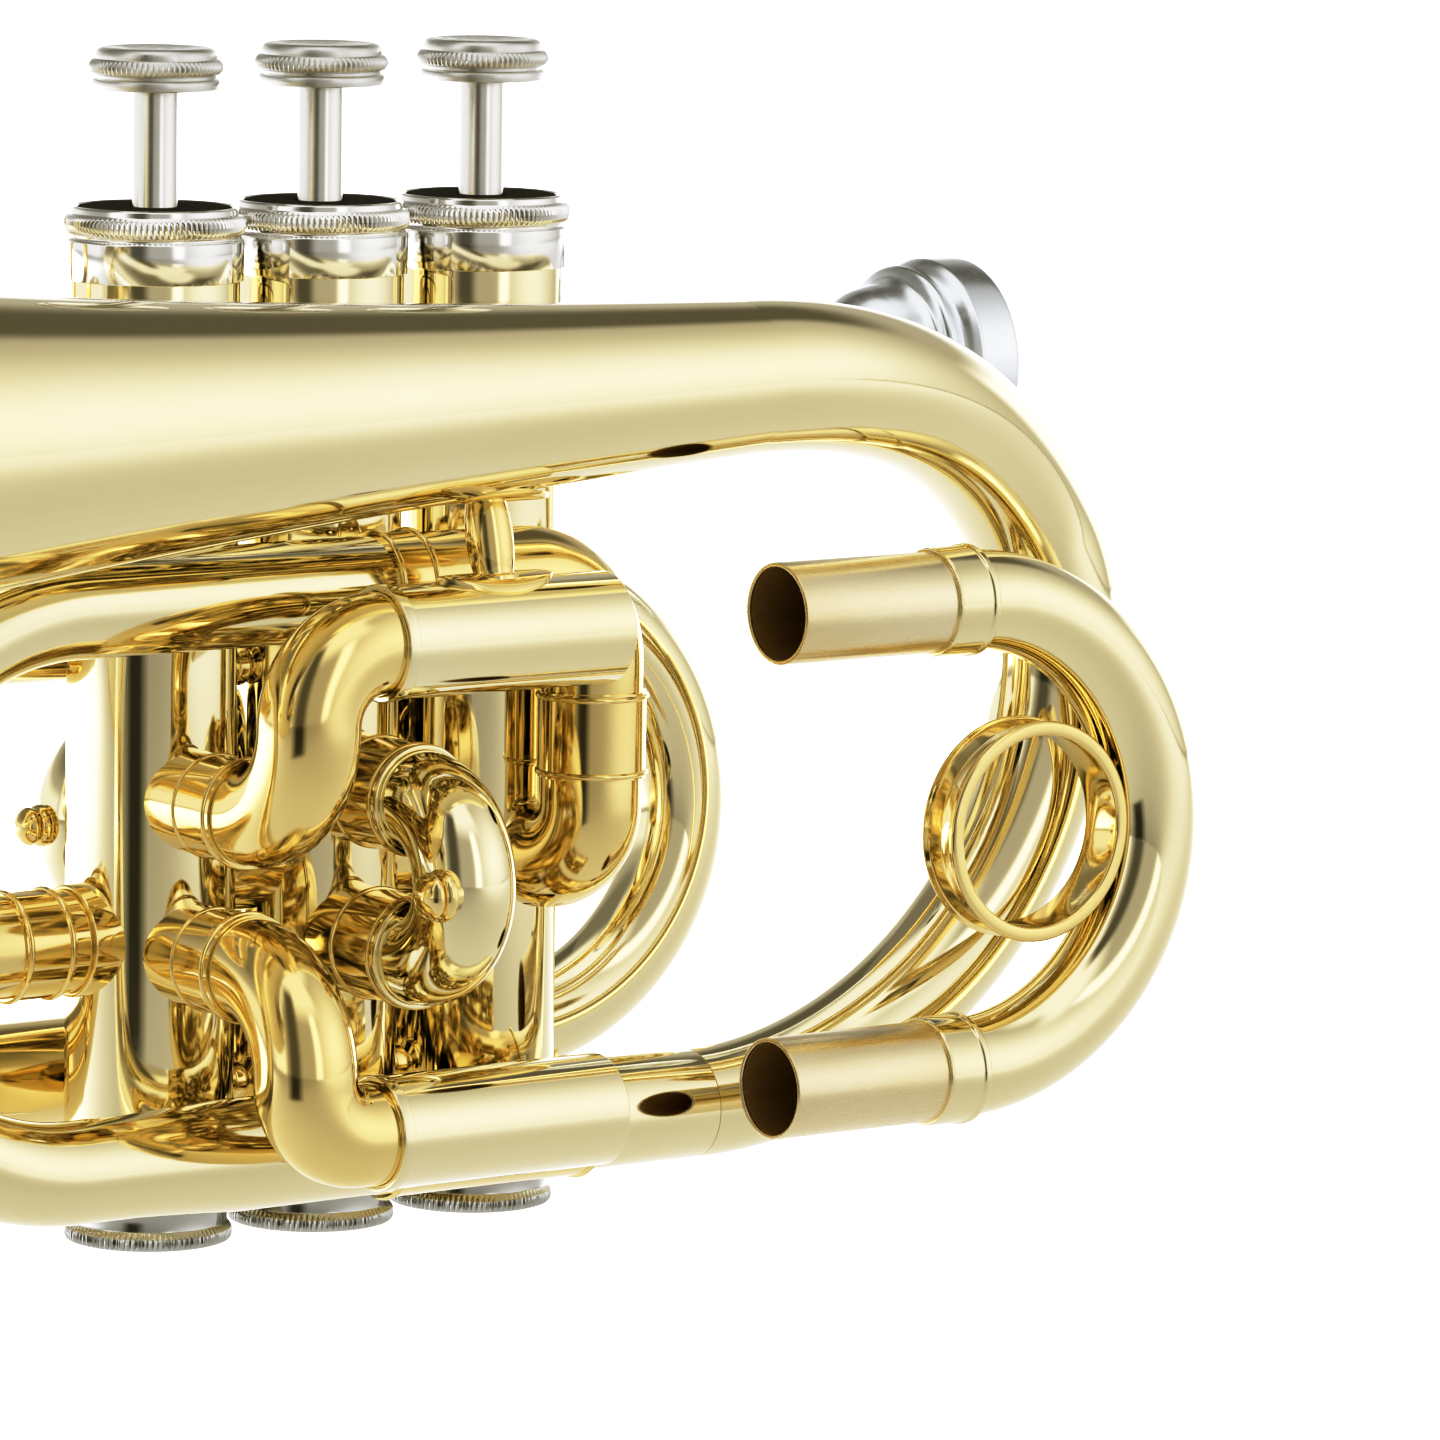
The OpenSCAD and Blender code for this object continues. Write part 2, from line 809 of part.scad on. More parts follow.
// A spring standing on the guide, drawn as the sleeve that its coils fill
module valve_spring(x) {
    color(silver)
        translate([x, 0, 0]) pipe(guide_z + 2, barrel_top - 2.5, 5.2, 4.3);
}

module valve_spring_1() { valve_spring(valve_pitch); }
module valve_spring_2() { valve_spring(0); }
module valve_spring_3() { valve_spring(-valve_pitch); }

// --- Moving slides ---

module third_slide_legs() {
    color("#cdbd8c")
        for (z = [third_high, third_low])
            tube([third_x1 + third_gap, third_y, z], X, third_leg + 6, inner_r, bore_r);
}

module third_slide_ferrules() {
    color(pale_brass)
        for (z = [third_high, third_low])
            along([third_bow_x - 6, third_y, z], X)
                rotate_extrude()
                    polygon([
                        [inner_r, 0], [outer_r, 0], [outer_r, 5.2], [outer_r + 0.25, 5.4],
                        [outer_r + 0.25, 6], [bend_r + 0.3, 6.2], [inner_r, 6.2]
                    ]);
}

module third_slide_bow() {
    centre = [third_bow_x, third_y, third_high - third_bow_r];
    color(pale_brass) {
        bend(centre, Z, X, third_bow_r, bend_r, bend_r - wall, 90);
        bend(centre, X, -Z, third_bow_r, bend_r, bend_r - wall, 90);
    }
}

// Finger ring of channel section, let into the inside of the bow's apex
module finger_ring() {
    ring_r = 14;
    half = 3.4;
    inside = third_bow_x + third_bow_r - bend_r;
    centre = [inside - ring_r + 0.7, third_y, third_high - third_bow_r];
    color(brass)
        difference() {
            translate(centre)
                rotate([90, 0, 0])
                    rotate_extrude()
                        polygon([
                            [ring_r - 1.6, -half], [ring_r - 0.4, -half], [ring_r, -half + 0.5],
                            [ring_r - 0.5, -half + 1.3], [ring_r - 1, 0],
                            [ring_r - 0.5, half - 1.3], [ring_r, half - 0.5],
                            [ring_r - 0.4, half], [ring_r - 1.6, half], [ring_r - 2.1, 0]
                        ]);
            translate([third_bow_x, third_y, third_high - third_bow_r])
                rotate([90, 0, 0])
                    rotate_extrude() translate([third_bow_r, 0]) circle(r = bend_r);
        }
}

module second_slide() {
    reach = 11;
    color(pale_brass) {
        for (z = [leg_high, leg_low]) {
            tube([0, second_y + reach, z], -Y, reach + 0.5, inner_r, bore_r);
            tube([0, second_y, z], -Y, 0.5, outer_r + 0.1, inner_r - 0.2);
        }
        translate([0, second_y - 0.5, 0]) {
            bend([0, 0, leg_high - slide_bow_r], Z, -Y, slide_bow_r, bend_r, bore_r - 0.2, 90);
            bend([0, 0, leg_high - slide_bow_r], -Y, -Z, slide_bow_r, bend_r, bore_r - 0.2, 90);
        }
    }
}

// A small turned pull knob, drawn along +Z from its seat
module knob(r) {
    rotate_extrude()
        polygon([
            [0, -2.6], [1.2, -2.6], [1.2, 0], [r * 0.8, 0], [r, 0.5], [r, 1.3],
            [r * 0.82, 1.8], [r * 0.95, 2.5], [r * 0.8, 3.5], [r * 0.4, 4.1], [0, 4.3]
        ]);
}

module second_slide_knob() {
    mid = leg_high - slide_bow_r;
    color(silver)
        difference() {
            along([-5.2, -36.5, mid], -X) knob(3.2);
            translate([0, second_y - 0.5, mid])
                rotate([0, 90, 0])
                    rotate_extrude() translate([slide_bow_r, 0]) circle(r = bend_r);
        }
}

module first_slide() {
    color(pale_brass) {
        for (z = [first_high, first_low]) {
            tube([first_bow_x, right_y, z], X, first_end_x - first_bow_x + 20, inner_r, bore_r);
            tube([first_bow_x, right_y, z], X, first_end_x - first_bow_x - 0.3,
                outer_r, inner_r - 0.2);
        }
        bend([first_bow_x, right_y, first_high - slide_bow_r], Z, -X, slide_bow_r,
            bend_r, bore_r - 0.2, 90);
        bend([first_bow_x, right_y, first_high - slide_bow_r], -X, -Z, slide_bow_r,
            bend_r, bore_r - 0.2, 90);
    }
}

module first_slide_knob() {
    mid = first_high - slide_bow_r;
    color(silver)
        difference() {
            along([first_bow_x - slide_bow_r - bend_r + 0.4, right_y, mid], -X)
                knob(2.6);
            translate([first_bow_x, right_y, mid])
                rotate([90, 0, 0])
                    rotate_extrude() translate([slide_bow_r, 0]) circle(r = bend_r);
        }
}

module tuning_slide_legs() {
    color(pale_brass)
        for (z = [tuning_high, tuning_low]) {
            tube([tuning_end_x - tuning_leg, right_y, z], X,
                tuning_x - tuning_end_x + tuning_leg, inner_r, bore_r);
            tube([tuning_end_x + 0.3, right_y, z], X, tuning_x - tuning_end_x - 0.3,
                outer_r, inner_r - 0.2);
        }
}

module tuning_slide_bow() {
    color(pale_brass) {
        bend([tuning_x, right_y, tuning_z], Z, X, tuning_bow_r, bend_r, bend_r - wall, 90);
        bend([tuning_x, right_y, tuning_z], X, -Z, tuning_bow_r, bend_r, bend_r - wall, 90);
    }
}

// Push-button water key: a cross barrel under the tuning bow and its plunger
key_x = tuning_x + 6;
key_z = tuning_low - bend_r - 2;

module water_key_body() {
    color(brass)
        difference() {
            union() {
                translate([key_x, right_y - 6, key_z]) rotate([-90, 0, 0])
                    cylinder(r = 3.6, h = 12);
                translate([key_x, right_y, key_z]) cylinder(r = 3, h = 5);
            }
            translate([key_x, right_y - 7, key_z]) rotate([-90, 0, 0])
                cylinder(r = 2.2, h = 14);
            translate([tuning_x, right_y, tuning_z])
                rotate([90, 0, 0])
                    rotate_extrude() translate([tuning_bow_r, 0]) circle(r = bend_r);
        }
}

module water_key_plunger() {
    color(silver)
        translate([key_x, right_y, key_z])
            rotate([-90, 0, 0]) {
                translate([0, 0, -6]) cylinder(r = 2.15, h = 15);
                translate([0, 0, 9]) cylinder(r = 3.3, h = 1.4);
            }
}

// Mouthpiece, turned in one piece, with its cup facing the player
module mouthpiece() {
    rim = mouth_rim_x - shank_end_x;
    color(silver)
        along([shank_end_x, right_y, leadpipe_z], X)
            rotate_extrude($fn = 96)
                polygon([
                    [3.7, 0], [4.37, 0], [4.97, receiver_x - shank_end_x], [5.2, 26],
                    [4.6, 31], [4.5, 38], [5, 42], [6.8, 46], [9.3, 50], [10, rim - 15],
                    [10.6, rim - 12], [12.6, rim - 10.4], [11.8, rim - 9.2],
                    [12.9, rim - 7.6], [13.4, rim - 6.6], [13.4, rim - 2], [12.9, rim - 0.6],
                    [11.6, rim], [9.6, rim - 0.3], [8.5, rim - 1.5], [8.2, rim - 4],
                    [6.9, rim - 8], [4.2, rim - 11.5], [1.9, rim - 15], [1.85, rim - 18],
                    [2.6, rim - 40]
                ]);
}

bell();
bell_rim_wire();
bell_bow();
bell_tail();
bell_sleeve();
front_crook();
top_branch();
elbow_sleeve();
valve1_elbow();
leadpipe();
receiver();
leadpipe_bend();
tuning_outer_tubes();
entry_crook();
entry_tube();
casing_1();
casing_2();
casing_3();
casing_links();
third_knuckles();
third_bends();
third_outer_tubes();
second_outer_tubes();
first_bends();
first_outer_tubes();
bell_brace();
pipe_braces();
pinky_hook();
lyre_holder();
lyre_screw();
top_caps();
bottom_caps();
cap_felts();
valve_guides();
piston_1();
piston_2();
piston_3();
stem_1();
stem_2();
stem_3();
button_1();
button_2();
button_3();
valve_spring_1();
valve_spring_2();
valve_spring_3();
third_slide_legs();
third_slide_ferrules();
third_slide_bow();
finger_ring();
second_slide();
second_slide_knob();
first_slide();
first_slide_knob();
tuning_slide_legs();
tuning_slide_bow();
water_key_body();
water_key_plunger();
mouthpiece();
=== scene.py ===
"""Looks for the cornet: lacquered tubing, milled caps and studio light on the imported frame."""

import math

import bpy
from mathutils import Matrix, Quaternion, Vector


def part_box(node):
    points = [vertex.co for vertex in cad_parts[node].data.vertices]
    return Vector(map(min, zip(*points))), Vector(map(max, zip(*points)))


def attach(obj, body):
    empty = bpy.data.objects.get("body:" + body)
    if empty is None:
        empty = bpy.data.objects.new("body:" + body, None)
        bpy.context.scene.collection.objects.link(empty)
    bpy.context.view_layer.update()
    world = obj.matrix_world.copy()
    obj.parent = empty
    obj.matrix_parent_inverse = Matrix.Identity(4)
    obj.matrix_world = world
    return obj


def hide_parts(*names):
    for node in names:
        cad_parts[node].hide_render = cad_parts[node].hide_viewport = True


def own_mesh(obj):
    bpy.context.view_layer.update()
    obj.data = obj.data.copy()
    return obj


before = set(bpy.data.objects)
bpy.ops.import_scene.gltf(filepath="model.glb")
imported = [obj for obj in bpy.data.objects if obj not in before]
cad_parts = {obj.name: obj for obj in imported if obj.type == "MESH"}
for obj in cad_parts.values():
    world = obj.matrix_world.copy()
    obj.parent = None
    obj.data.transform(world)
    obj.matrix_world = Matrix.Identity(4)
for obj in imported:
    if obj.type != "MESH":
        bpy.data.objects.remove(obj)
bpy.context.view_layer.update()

MM = 0.001
X, Y, Z = Vector((1, 0, 0)), Vector((0, 1, 0)), Vector((0, 0, 1))
BOX = {name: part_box(name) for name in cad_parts}


def low(node):
    return BOX[node][0]


def high(node):
    return BOX[node][1]


def middle(node):
    return (low(node) + high(node)) / 2


def half(node):
    return (high(node) - low(node)) / 2


# --- Measures read from the frame ---

tube_r = half("leadpipe").z
slide_r = half("third_slide_legs").y
outer_r = half("third_slide_ferrules").y - 0.25 * MM
tail_r = half("bell_tail").z
casing_r = half("casing_2").x
wall = 0.5 * MM
slide_bore = slide_r + 0.05 * MM
port_r = casing_r - 2 * MM
leg_port_r = casing_r - 3 * MM

valve_x = {n: middle(f"casing_{n}").x for n in (1, 2, 3)}
casing_low, casing_top = low("casing_2").z, high("casing_2").z

left_y = middle("bell_tail").y
bell_y = middle("bell").y
third_y = middle("third_slide_bow").y
right_y = middle("leadpipe").y

leadpipe_z = middle("leadpipe").z
bottom_z = middle("bell_tail").z
branch_z = high("front_crook").z - tube_r
third_z = [high("third_slide_legs").z - slide_r, low("third_slide_legs").z + slide_r]
second_z = [high("second_slide").z - outer_r - 0.1 * MM, low("second_slide").z + outer_r + 0.1 * MM]
first_z = [high("first_slide").z - outer_r, low("first_slide").z + outer_r]
tuning_z = [high("tuning_slide_legs").z - outer_r, low("tuning_slide_legs").z + outer_r]


# --- Outlines: closed lists of (distance along the centre line, radius) ---


def rounded(outline, radius, steps=3):
    """The closed outline with its corners rounded."""
    points = [Vector(p) for p in outline]
    result = []
    for i, p in enumerate(points):
        before, after = points[i - 1] - p, points[(i + 1) % len(points)] - p
        reach = min(radius, 0.45 * before.length, 0.45 * after.length)
        if p.y < 1e-7 or reach < 1e-6 or before.angle(-after) < 0.2:
            result.append(p)
            continue
        a, b = p + before.normalized() * reach, p + after.normalized() * reach
        for k in range(steps + 1):
            t = k / steps
            result.append(a * (1 - t) ** 2 + p * 2 * t * (1 - t) + b * t ** 2)
    return result


def curved(points, steps=6):
    """A smooth open curve through the points."""
    pts = [Vector(p) for p in points]
    pts = [2 * pts[0] - pts[1]] + pts + [2 * pts[-1] - pts[-2]]
    result = []
    for i in range(1, len(pts) - 2):
        a, b, c, d = pts[i - 1 : i + 3]
        for k in range(steps):
            t = k / steps
            result.append(
                0.5 * (2 * b + (c - a) * t + (2 * a - 5 * b + 4 * c - d) * t ** 2
                       + (3 * b - a - 3 * c + d) * t ** 3)
            )
    return result + [pts[-2]]


def in_mm(points):
    """The same points, given in millimetres."""
    return [(a * MM, b * MM) for a, b in points]


def tube_outline(start, end, outer, inner, edge=0.16 * MM):
    """A plain tube wall from start to end."""
    return rounded([(start, inner), (start, outer), (end, outer), (end, inner)], edge)


def beaded_outline(length, outer, inner, beads, size=0.35 * MM):
    """A sleeve with half-round beads standing on its outside."""
    outline = [Vector((0, inner)), Vector((0, outer))]
    for bead in beads:
        for k in range(9):
            a = math.pi * k / 8
            outline.append(Vector((bead - size * math.cos(a), outer + size * math.sin(a))))
    return outline + [Vector((length, outer)), Vector((length, inner))]


def post_outline(length, foot, neck, waist, belly, step):
    """A turned post, alike at both ends. Lengths and radii are in mm."""
    rise = [(0, 0), (0, foot), (step, neck), (length * 0.4, waist)]
    fall = [(length - s, r) for s, r in reversed(rise)]
    return rounded(in_mm(rise + [(length * 0.5, belly)] + fall), 0.4 * MM)


# --- Centre lines and the skins drawn along them ---


SHARP_EDGE = math.radians(40)


class Route:
    """A centre line walked from a start in straight runs and round turns."""

    def __init__(self, start, heading):
        self.point = Vector(start)
        self.heading = Vector(heading).normalized()
        self.side = self.heading.orthogonal().normalized()
        self.length = 0.0
        self.stations = []
        self.mark()

    def mark(self):
        self.stations.append(
            (self.length, self.point.copy(), self.heading.copy(), self.side.copy())
        )
        return self

    def go(self, distance):
        self.point = self.point + self.heading * distance
        self.length += distance
        return self.mark()

    def turn(self, heading, radius):
        """A round turn of under 180 degrees to a new heading."""
        heading = Vector(heading).normalized()
        axis = self.heading.cross(heading).normalized()
        angle = self.heading.angle(heading)
        centre = self.point + radius * axis.cross(self.heading)
        arm, way, side = self.point - centre, self.heading, self.side
        steps = max(4, math.ceil(math.degrees(angle) / 3))
        for i in range(1, steps + 1):
            spin = Quaternion(axis, angle * i / steps)
            self.point = centre + spin @ arm
            self.heading = spin @ way
            self.side = spin @ side
            self.length += radius * angle / steps
            self.mark()
        return self

    def turn_back(self, by_way_of, radius):
        """A half circle back the way it came."""
        back = -self.heading
        return self.turn(by_way_of, radius).turn(back, radius)

    def to(self, point, heading):
        """A short step to a point on a free curve, with the heading there."""
        heading = Vector(heading).normalized()
        self.side = self.heading.rotation_difference(heading) @ self.side
        self.length += (Vector(point) - self.point).length
        self.point, self.heading = Vector(point), heading
        return self.mark()

    def at(self, s):
        """Centre and two cross directions at a distance along the line."""
        if s <= 0 or len(self.stations) == 1:
            _, p, way, side = self.stations[0]
            return p + way * s, side, way.cross(side)
        for a, b in zip(self.stations, self.stations[1:]):
            if s <= b[0] + 1e-9 or b is self.stations[-1]:
                t = (s - a[0]) / max(b[0] - a[0], 1e-9)
                p = a[1].lerp(b[1], t)
                way = a[2].lerp(b[2], min(t, 1)).normalized()
                side = a[3].lerp(b[3], min(t, 1))
                side = (side - way * side.dot(way)).normalized()
                return p, side, way.cross(side)


class Shape:
    """The vertices and faces of one piece, gathered from skins."""

    def __init__(self):
        self.verts = []
        self.faces = []

    def skin(self, route, outline, segments=72, relief=None):
        """A closed outline carried round and along a route. relief(s, angle) adds to the radius."""
        rows = []
        outline = [Vector(p) for p in outline]
        for i, p in enumerate(outline):
            q = outline[(i + 1) % len(outline)]
            rows.append(p)
            between = [st[0] for st in route.stations
                       if min(p.x, q.x) + 1e-6 < st[0] < max(p.x, q.x) - 1e-6]
            for s in between if q.x > p.x else reversed(between):
                t = (s - p.x) / (q.x - p.x)
                rows.append(Vector((s, p.y + (q.y - p.y) * t)))
        rings = []
        for s, r in rows:
            centre, u, v = route.at(s)
            if r < 1e-7:
                rings.append([len(self.verts)])
                self.verts.append(centre)
                continue
            rings.append(list(range(len(self.verts), len(self.verts) + segments)))
            for k in range(segments):
                a = 2 * math.pi * k / segments
                d = r + (relief(s, r, a) if relief else 0)
                self.verts.append(centre + u * (d * math.cos(a)) + v * (d * math.sin(a)))
        for a, b in zip(rings, rings[1:] + rings[:1]):
            self.bridge(a, b)
        return self

    def pipe(self, route, outer, inner=None, segments=72):
        """A tube along the whole route, one wall thick unless its inner radius is given."""
        inner = outer - wall if inner is None else inner
        return self.skin(route, tube_outline(0, route.length, outer, inner), segments)

    def ferrule(self, route, outer, inner):
        """A sleeve along the whole route, with a bead near each end."""
        edge = 0.6 * MM
        beads = [edge, route.length - edge]
        return self.skin(route, beaded_outline(route.length, outer, inner, beads))

    def bridge(self, a, b):
        """The faces between two rings of vertices; either may be a single point."""
        if len(a) == 1 and len(b) == 1:
            return
        n = max(len(a), len(b))
        for k in range(n):
            m = (k + 1) % n
            if len(a) == 1:
                self.faces.append((a[0], b[m], b[k]))
            elif len(b) == 1:
                self.faces.append((a[k], a[m], b[0]))
            else:
                self.faces.append((a[k], a[m], b[m], b[k]))

    def strip(self, route, width, thickness, edge=0.3 * MM, across=None):
        """A rounded flat bar carried along a route; across is the direction of its width."""
        rings = []
        for s, _, way, _ in route.stations:
            centre, side, _ = route.at(s)
            flat = (across - way * across.dot(way)).normalized() if across else side
            up = way.cross(flat)
            loop = []
            for sx, sy in ((1, 1), (-1, 1), (-1, -1), (1, -1)):
                corner = Vector((sx * (width / 2 - edge), sy * (thickness / 2 - edge)))
                first = math.atan2(sy, sx) - math.pi / 4
                for k in range(5):
                    a = first + math.pi / 2 * k / 4
                    x, y = corner.x + edge * math.cos(a), corner.y + edge * math.sin(a)
                    loop.append(len(self.verts))
                    self.verts.append(centre + flat * x + up * y)
            rings.append(loop)
        for a, b in zip(rings, rings[1:]):
            self.bridge(a, b)
        self.faces.append(tuple(reversed(rings[0])))
        self.faces.append(tuple(rings[-1]))
        return self

    def place(self, name, material, *stands_for, body="cornet_body"):
        """Makes the piece, hands it to its body and hides the CAD nodes it stands for."""
        mesh = bpy.data.meshes.new(name)
        mesh.from_pydata([tuple(v) for v in self.verts], [], self.faces)
        mesh.update()
        bpy.context.view_layer.update()
        mesh.materials.append(material)
        mesh.shade_smooth()
        mesh.set_sharp_from_angle(angle=SHARP_EDGE)
        piece = bpy.data.objects.new(name, mesh)
        bpy.context.scene.collection.objects.link(piece)
        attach(piece, body)
        if stands_for:
            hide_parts(*stands_for)
        return piece


def milled(count, depth, start, end):
    """A relief of milled teeth round the stretch from start to end of a lathed form."""

    def relief(s, r, a):
        if not start < s < end:
            return 0.0
        swell = 1 - abs(2 * (s - start) / (end - start) - 1) ** 3
        return -depth * swell * (0.5 + 0.5 * math.cos(count * a)) ** 1.5

    return relief


# --- Materials ---


class Paint:
    """A node material built step by step on one Principled shader."""

    def __init__(self, name):
        self.material = bpy.data.materials.new(name)
        self.material.use_nodes = True
        self.nodes = self.material.node_tree.nodes
        self.links = self.material.node_tree.links
        self.shader = self.nodes["Principled BSDF"]
        self.coords = self.nodes.new("ShaderNodeTexCoord").outputs["Object"]

    def set(self, **values):
        for name, value in values.items():
            self.shader.inputs[name.replace("_", " ")].default_value = value
        return self

    def stretched(self, scale):
        mapping = self.nodes.new("ShaderNodeMapping")
        mapping.inputs["Scale"].default_value = scale
        self.links.new(self.coords, mapping.inputs["Vector"])
        return mapping.outputs["Vector"]

    def noise(self, scale, detail=3.0, rough=0.55, stretch=None):
        node = self.nodes.new("ShaderNodeTexNoise")
        node.inputs["Scale"].default_value = scale
        node.inputs["Detail"].default_value = detail
        node.inputs["Roughness"].default_value = rough
        self.links.new(self.stretched(stretch) if stretch else self.coords,
                       node.inputs["Vector"])
        return node.outputs["Fac"]

    def remap(self, value, least, most, start=0.3, end=0.7):
        """The value's stretch from start to end spread over least to most."""
        node = self.nodes.new("ShaderNodeMapRange")
        for key, v in (("From Min", start), ("From Max", end), ("To Min", least), ("To Max", most)):
            node.inputs[key].default_value = v
        self.links.new(value, node.inputs["Value"])
        return node.outputs["Result"]

    def mixed(self, factor, a, b):
        node = self.nodes.new("ShaderNodeMix")
        node.data_type = "RGBA"
        node.inputs["A"].default_value = (*a, 1)
        node.inputs["B"].default_value = (*b, 1)
        self.links.new(factor, node.inputs["Factor"])
        return node.outputs["Result"]

    def drive(self, **outputs):
        for name, output in outputs.items():
            self.links.new(output, self.shader.inputs[name.replace("_", " ")])
        return self

    def bump(self, height, distance, strength=1.0):
        node = self.nodes.new("ShaderNodeBump")
        node.inputs["Strength"].default_value = strength
        node.inputs["Distance"].default_value = distance
        self.links.new(height, node.inputs["Height"])
        self.links.new(node.outputs["Normal"], self.shader.inputs["Normal"])
        return self


def lacquered(name, tone, deep, rough=0.05):
    """Polished brass under clear lacquer: slow changes of tone, faint haze and buffing lines."""
    p = Paint(name).set(Metallic=1.0, Coat_Weight=0.35, Coat_Roughness=0.02, Coat_IOR=1.5)
    p.drive(Base_Color=p.mixed(p.remap(p.noise(22, 4), 0, 1), tone, deep))
    p.drive(Roughness=p.remap(p.noise(140, 6, 0.7), rough * 0.8, rough * 1.5))
    p.bump(p.noise(900, 3, 0.6, stretch=(1, 0.06, 1)), 0.0000015, 0.02)
    return p.material


def drawn_brass():
    """Bare drawn slide tube: satin, with fine lines along it and faint handling stains."""
    p = Paint("drawn_brass").set(Metallic=1.0, Anisotropic=0.35)
    stain = p.remap(p.noise(70, 5, 0.65, stretch=(0.3, 1, 1)), 0, 1, 0.42, 0.75)
    p.drive(Base_Color=p.mixed(stain, (0.88, 0.79, 0.60), (0.82, 0.69, 0.46)))
    lines = p.noise(900, 4, 0.7, stretch=(0.03, 1, 1))
    p.drive(Roughness=p.remap(lines, 0.24, 0.30))
    p.bump(lines, 0.000004, 0.06)
    return p.material


def tarnished_brass():
    """The dull brown bore of a bare slide tube."""
    p = Paint("tarnished_brass").set(Metallic=0.5)
    stain = p.noise(160, 5, 0.7, stretch=(0.3, 1, 1))
    p.drive(Base_Color=p.mixed(p.remap(stain, 0, 1), (0.50, 0.31, 0.12), (0.32, 0.19, 0.07)))
    p.drive(Roughness=p.remap(stain, 0.5, 0.65))
    p.bump(stain, 0.00001, 0.1)
    return p.material


def plated(name, tone, rough, lines=None, grain=0.2):
    """Silver or nickel plate, from polished to satin."""
    p = Paint(name).set(Metallic=1.0)
    p.drive(Base_Color=p.mixed(p.remap(p.noise(45, 4), 0, 1), tone, [c * 0.93 for c in tone]))
    texture = p.noise(700, 4, 0.65, stretch=lines or (1, 1, 1))
    p.drive(Roughness=p.remap(texture, rough * 0.75, rough * 1.3))
    p.bump(texture, 0.000006, grain)
    return p.material


def felt():
    """Dense black felt with a fine upright nap."""
    p = Paint("black_felt").set(Roughness=1.0, Specular_IOR_Level=0.05)
    fibre = p.noise(2600, 5, 0.75)
    p.drive(Base_Color=p.mixed(p.remap(fibre, 0, 1), (0.012, 0.012, 0.014), (0.06, 0.06, 0.065)))
    p.bump(fibre, 0.0002, 0.9)
    return p.material


# The first is the lacquered brass's own tone. The second is the same brass painted lighter and
# paler, a painted highlight used on the bell, bow, casings and broad tubes.
BRASS = lacquered("lacquered_brass", (0.93, 0.77, 0.43), (0.91, 0.735, 0.38), 0.09)
BRASS_PAINTED_LIT = lacquered("lacquered_brass_light", (0.93, 0.845, 0.61), (0.91, 0.815, 0.56), 0.06)
DRAWN = drawn_brass()
TARNISHED = tarnished_brass()
SILVER = plated("silver_plate", (0.90, 0.89, 0.87), 0.10)
SATIN = plated("satin_silver", (0.77, 0.765, 0.75), 0.34, grain=0.3)
FROSTED = plated("frosted_silver", (0.90, 0.93, 0.97), 0.22, grain=0.03)
# The bottom caps' plate: the caps' silver painted darker, as painted shade under the valve block.
CAP_PLATE_PAINTED_SHADE = plated("cap_plate_painted_shade", (0.64, 0.64, 0.63), 0.13)
NICKEL = plated("nickel_plate", (0.86, 0.85, 0.82), 0.20, lines=(1, 1, 0.08), grain=0.35)
STEEL = plated("turned_steel", (0.66, 0.66, 0.67), 0.22, lines=(5, 1, 1), grain=0.3)
FELT = felt()


# --- Bell, bow and front crook ---

DROOP = math.radians(1.4)
BELL_WALL = 0.6 * MM
BOW_UPPER = Vector((58.4, 37.9)) * MM
BOW_LOWER = Vector((56.5, 54.1)) * MM
BOW_LEAN = math.radians(70)

apex = Vector((high("bell_tail").x + BOW_LOWER.x, 0, bottom_z + BOW_LOWER.y))
bow_start = math.pi / 2 + math.atan(math.tan(DROOP) * BOW_UPPER.x / BOW_UPPER.y)


def bow_point(a):
    """The bow's centre line by angle, from upright at the bell to hanging at the tail."""
    q = min(1, max(0, (math.pi / 2 - a) / BOW_LEAN))
    reach = BOW_UPPER if a > 0 else BOW_LOWER
    return Vector((
        apex.x - reach.x * (1 - math.cos(a)),
        bell_y + (left_y - bell_y) * q * q * (3 - 2 * q),
        apex.z + reach.y * math.sin(a),
    ))


bell_base = bow_point(bow_start)
bell_axis = Vector((-math.cos(DROOP), 0, -math.sin(DROOP)))
bell_length = (bell_base.x - middle("bell_rim_wire").x) / math.cos(DROOP) + 0.6 * MM


def bell_radius(s):
    """Outer radius of the bell at a distance from its rim."""
    return (267.4 / (s / MM + 21.35) ** 0.39 - 21.65) * MM


def make_bell():
    """The flare, whose wall ends inside a rolled rim."""
    steps, lip = 90, 0.9 * MM
    outer = []
    for i in range(steps + 1):
        s = lip + (bell_length - lip) * (i / steps) ** 1.7
        outer.append(Vector((bell_length - s, bell_radius(s))))
    inner = [p - Vector((0, BELL_WALL)) for p in reversed(outer)]
    route = Route(bell_base, bell_axis).go(bell_length)
    Shape().skin(route, outer + inner, 160).place("bell_flare", BRASS_PAINTED_LIT, "bell")

    rim = bell_radius(MM)
    wire_r, wire_s = 1.15 * MM, bell_length - 1.1 * MM
    wire = [Vector((wire_s + wire_r * math.cos(a), rim + wire_r * math.sin(a)))
            for a in [2 * math.pi * k / 20 for k in range(20)]]
    Shape().skin(route, wire, 160).place("bell_rim_roll", BRASS, "bell_rim_wire")


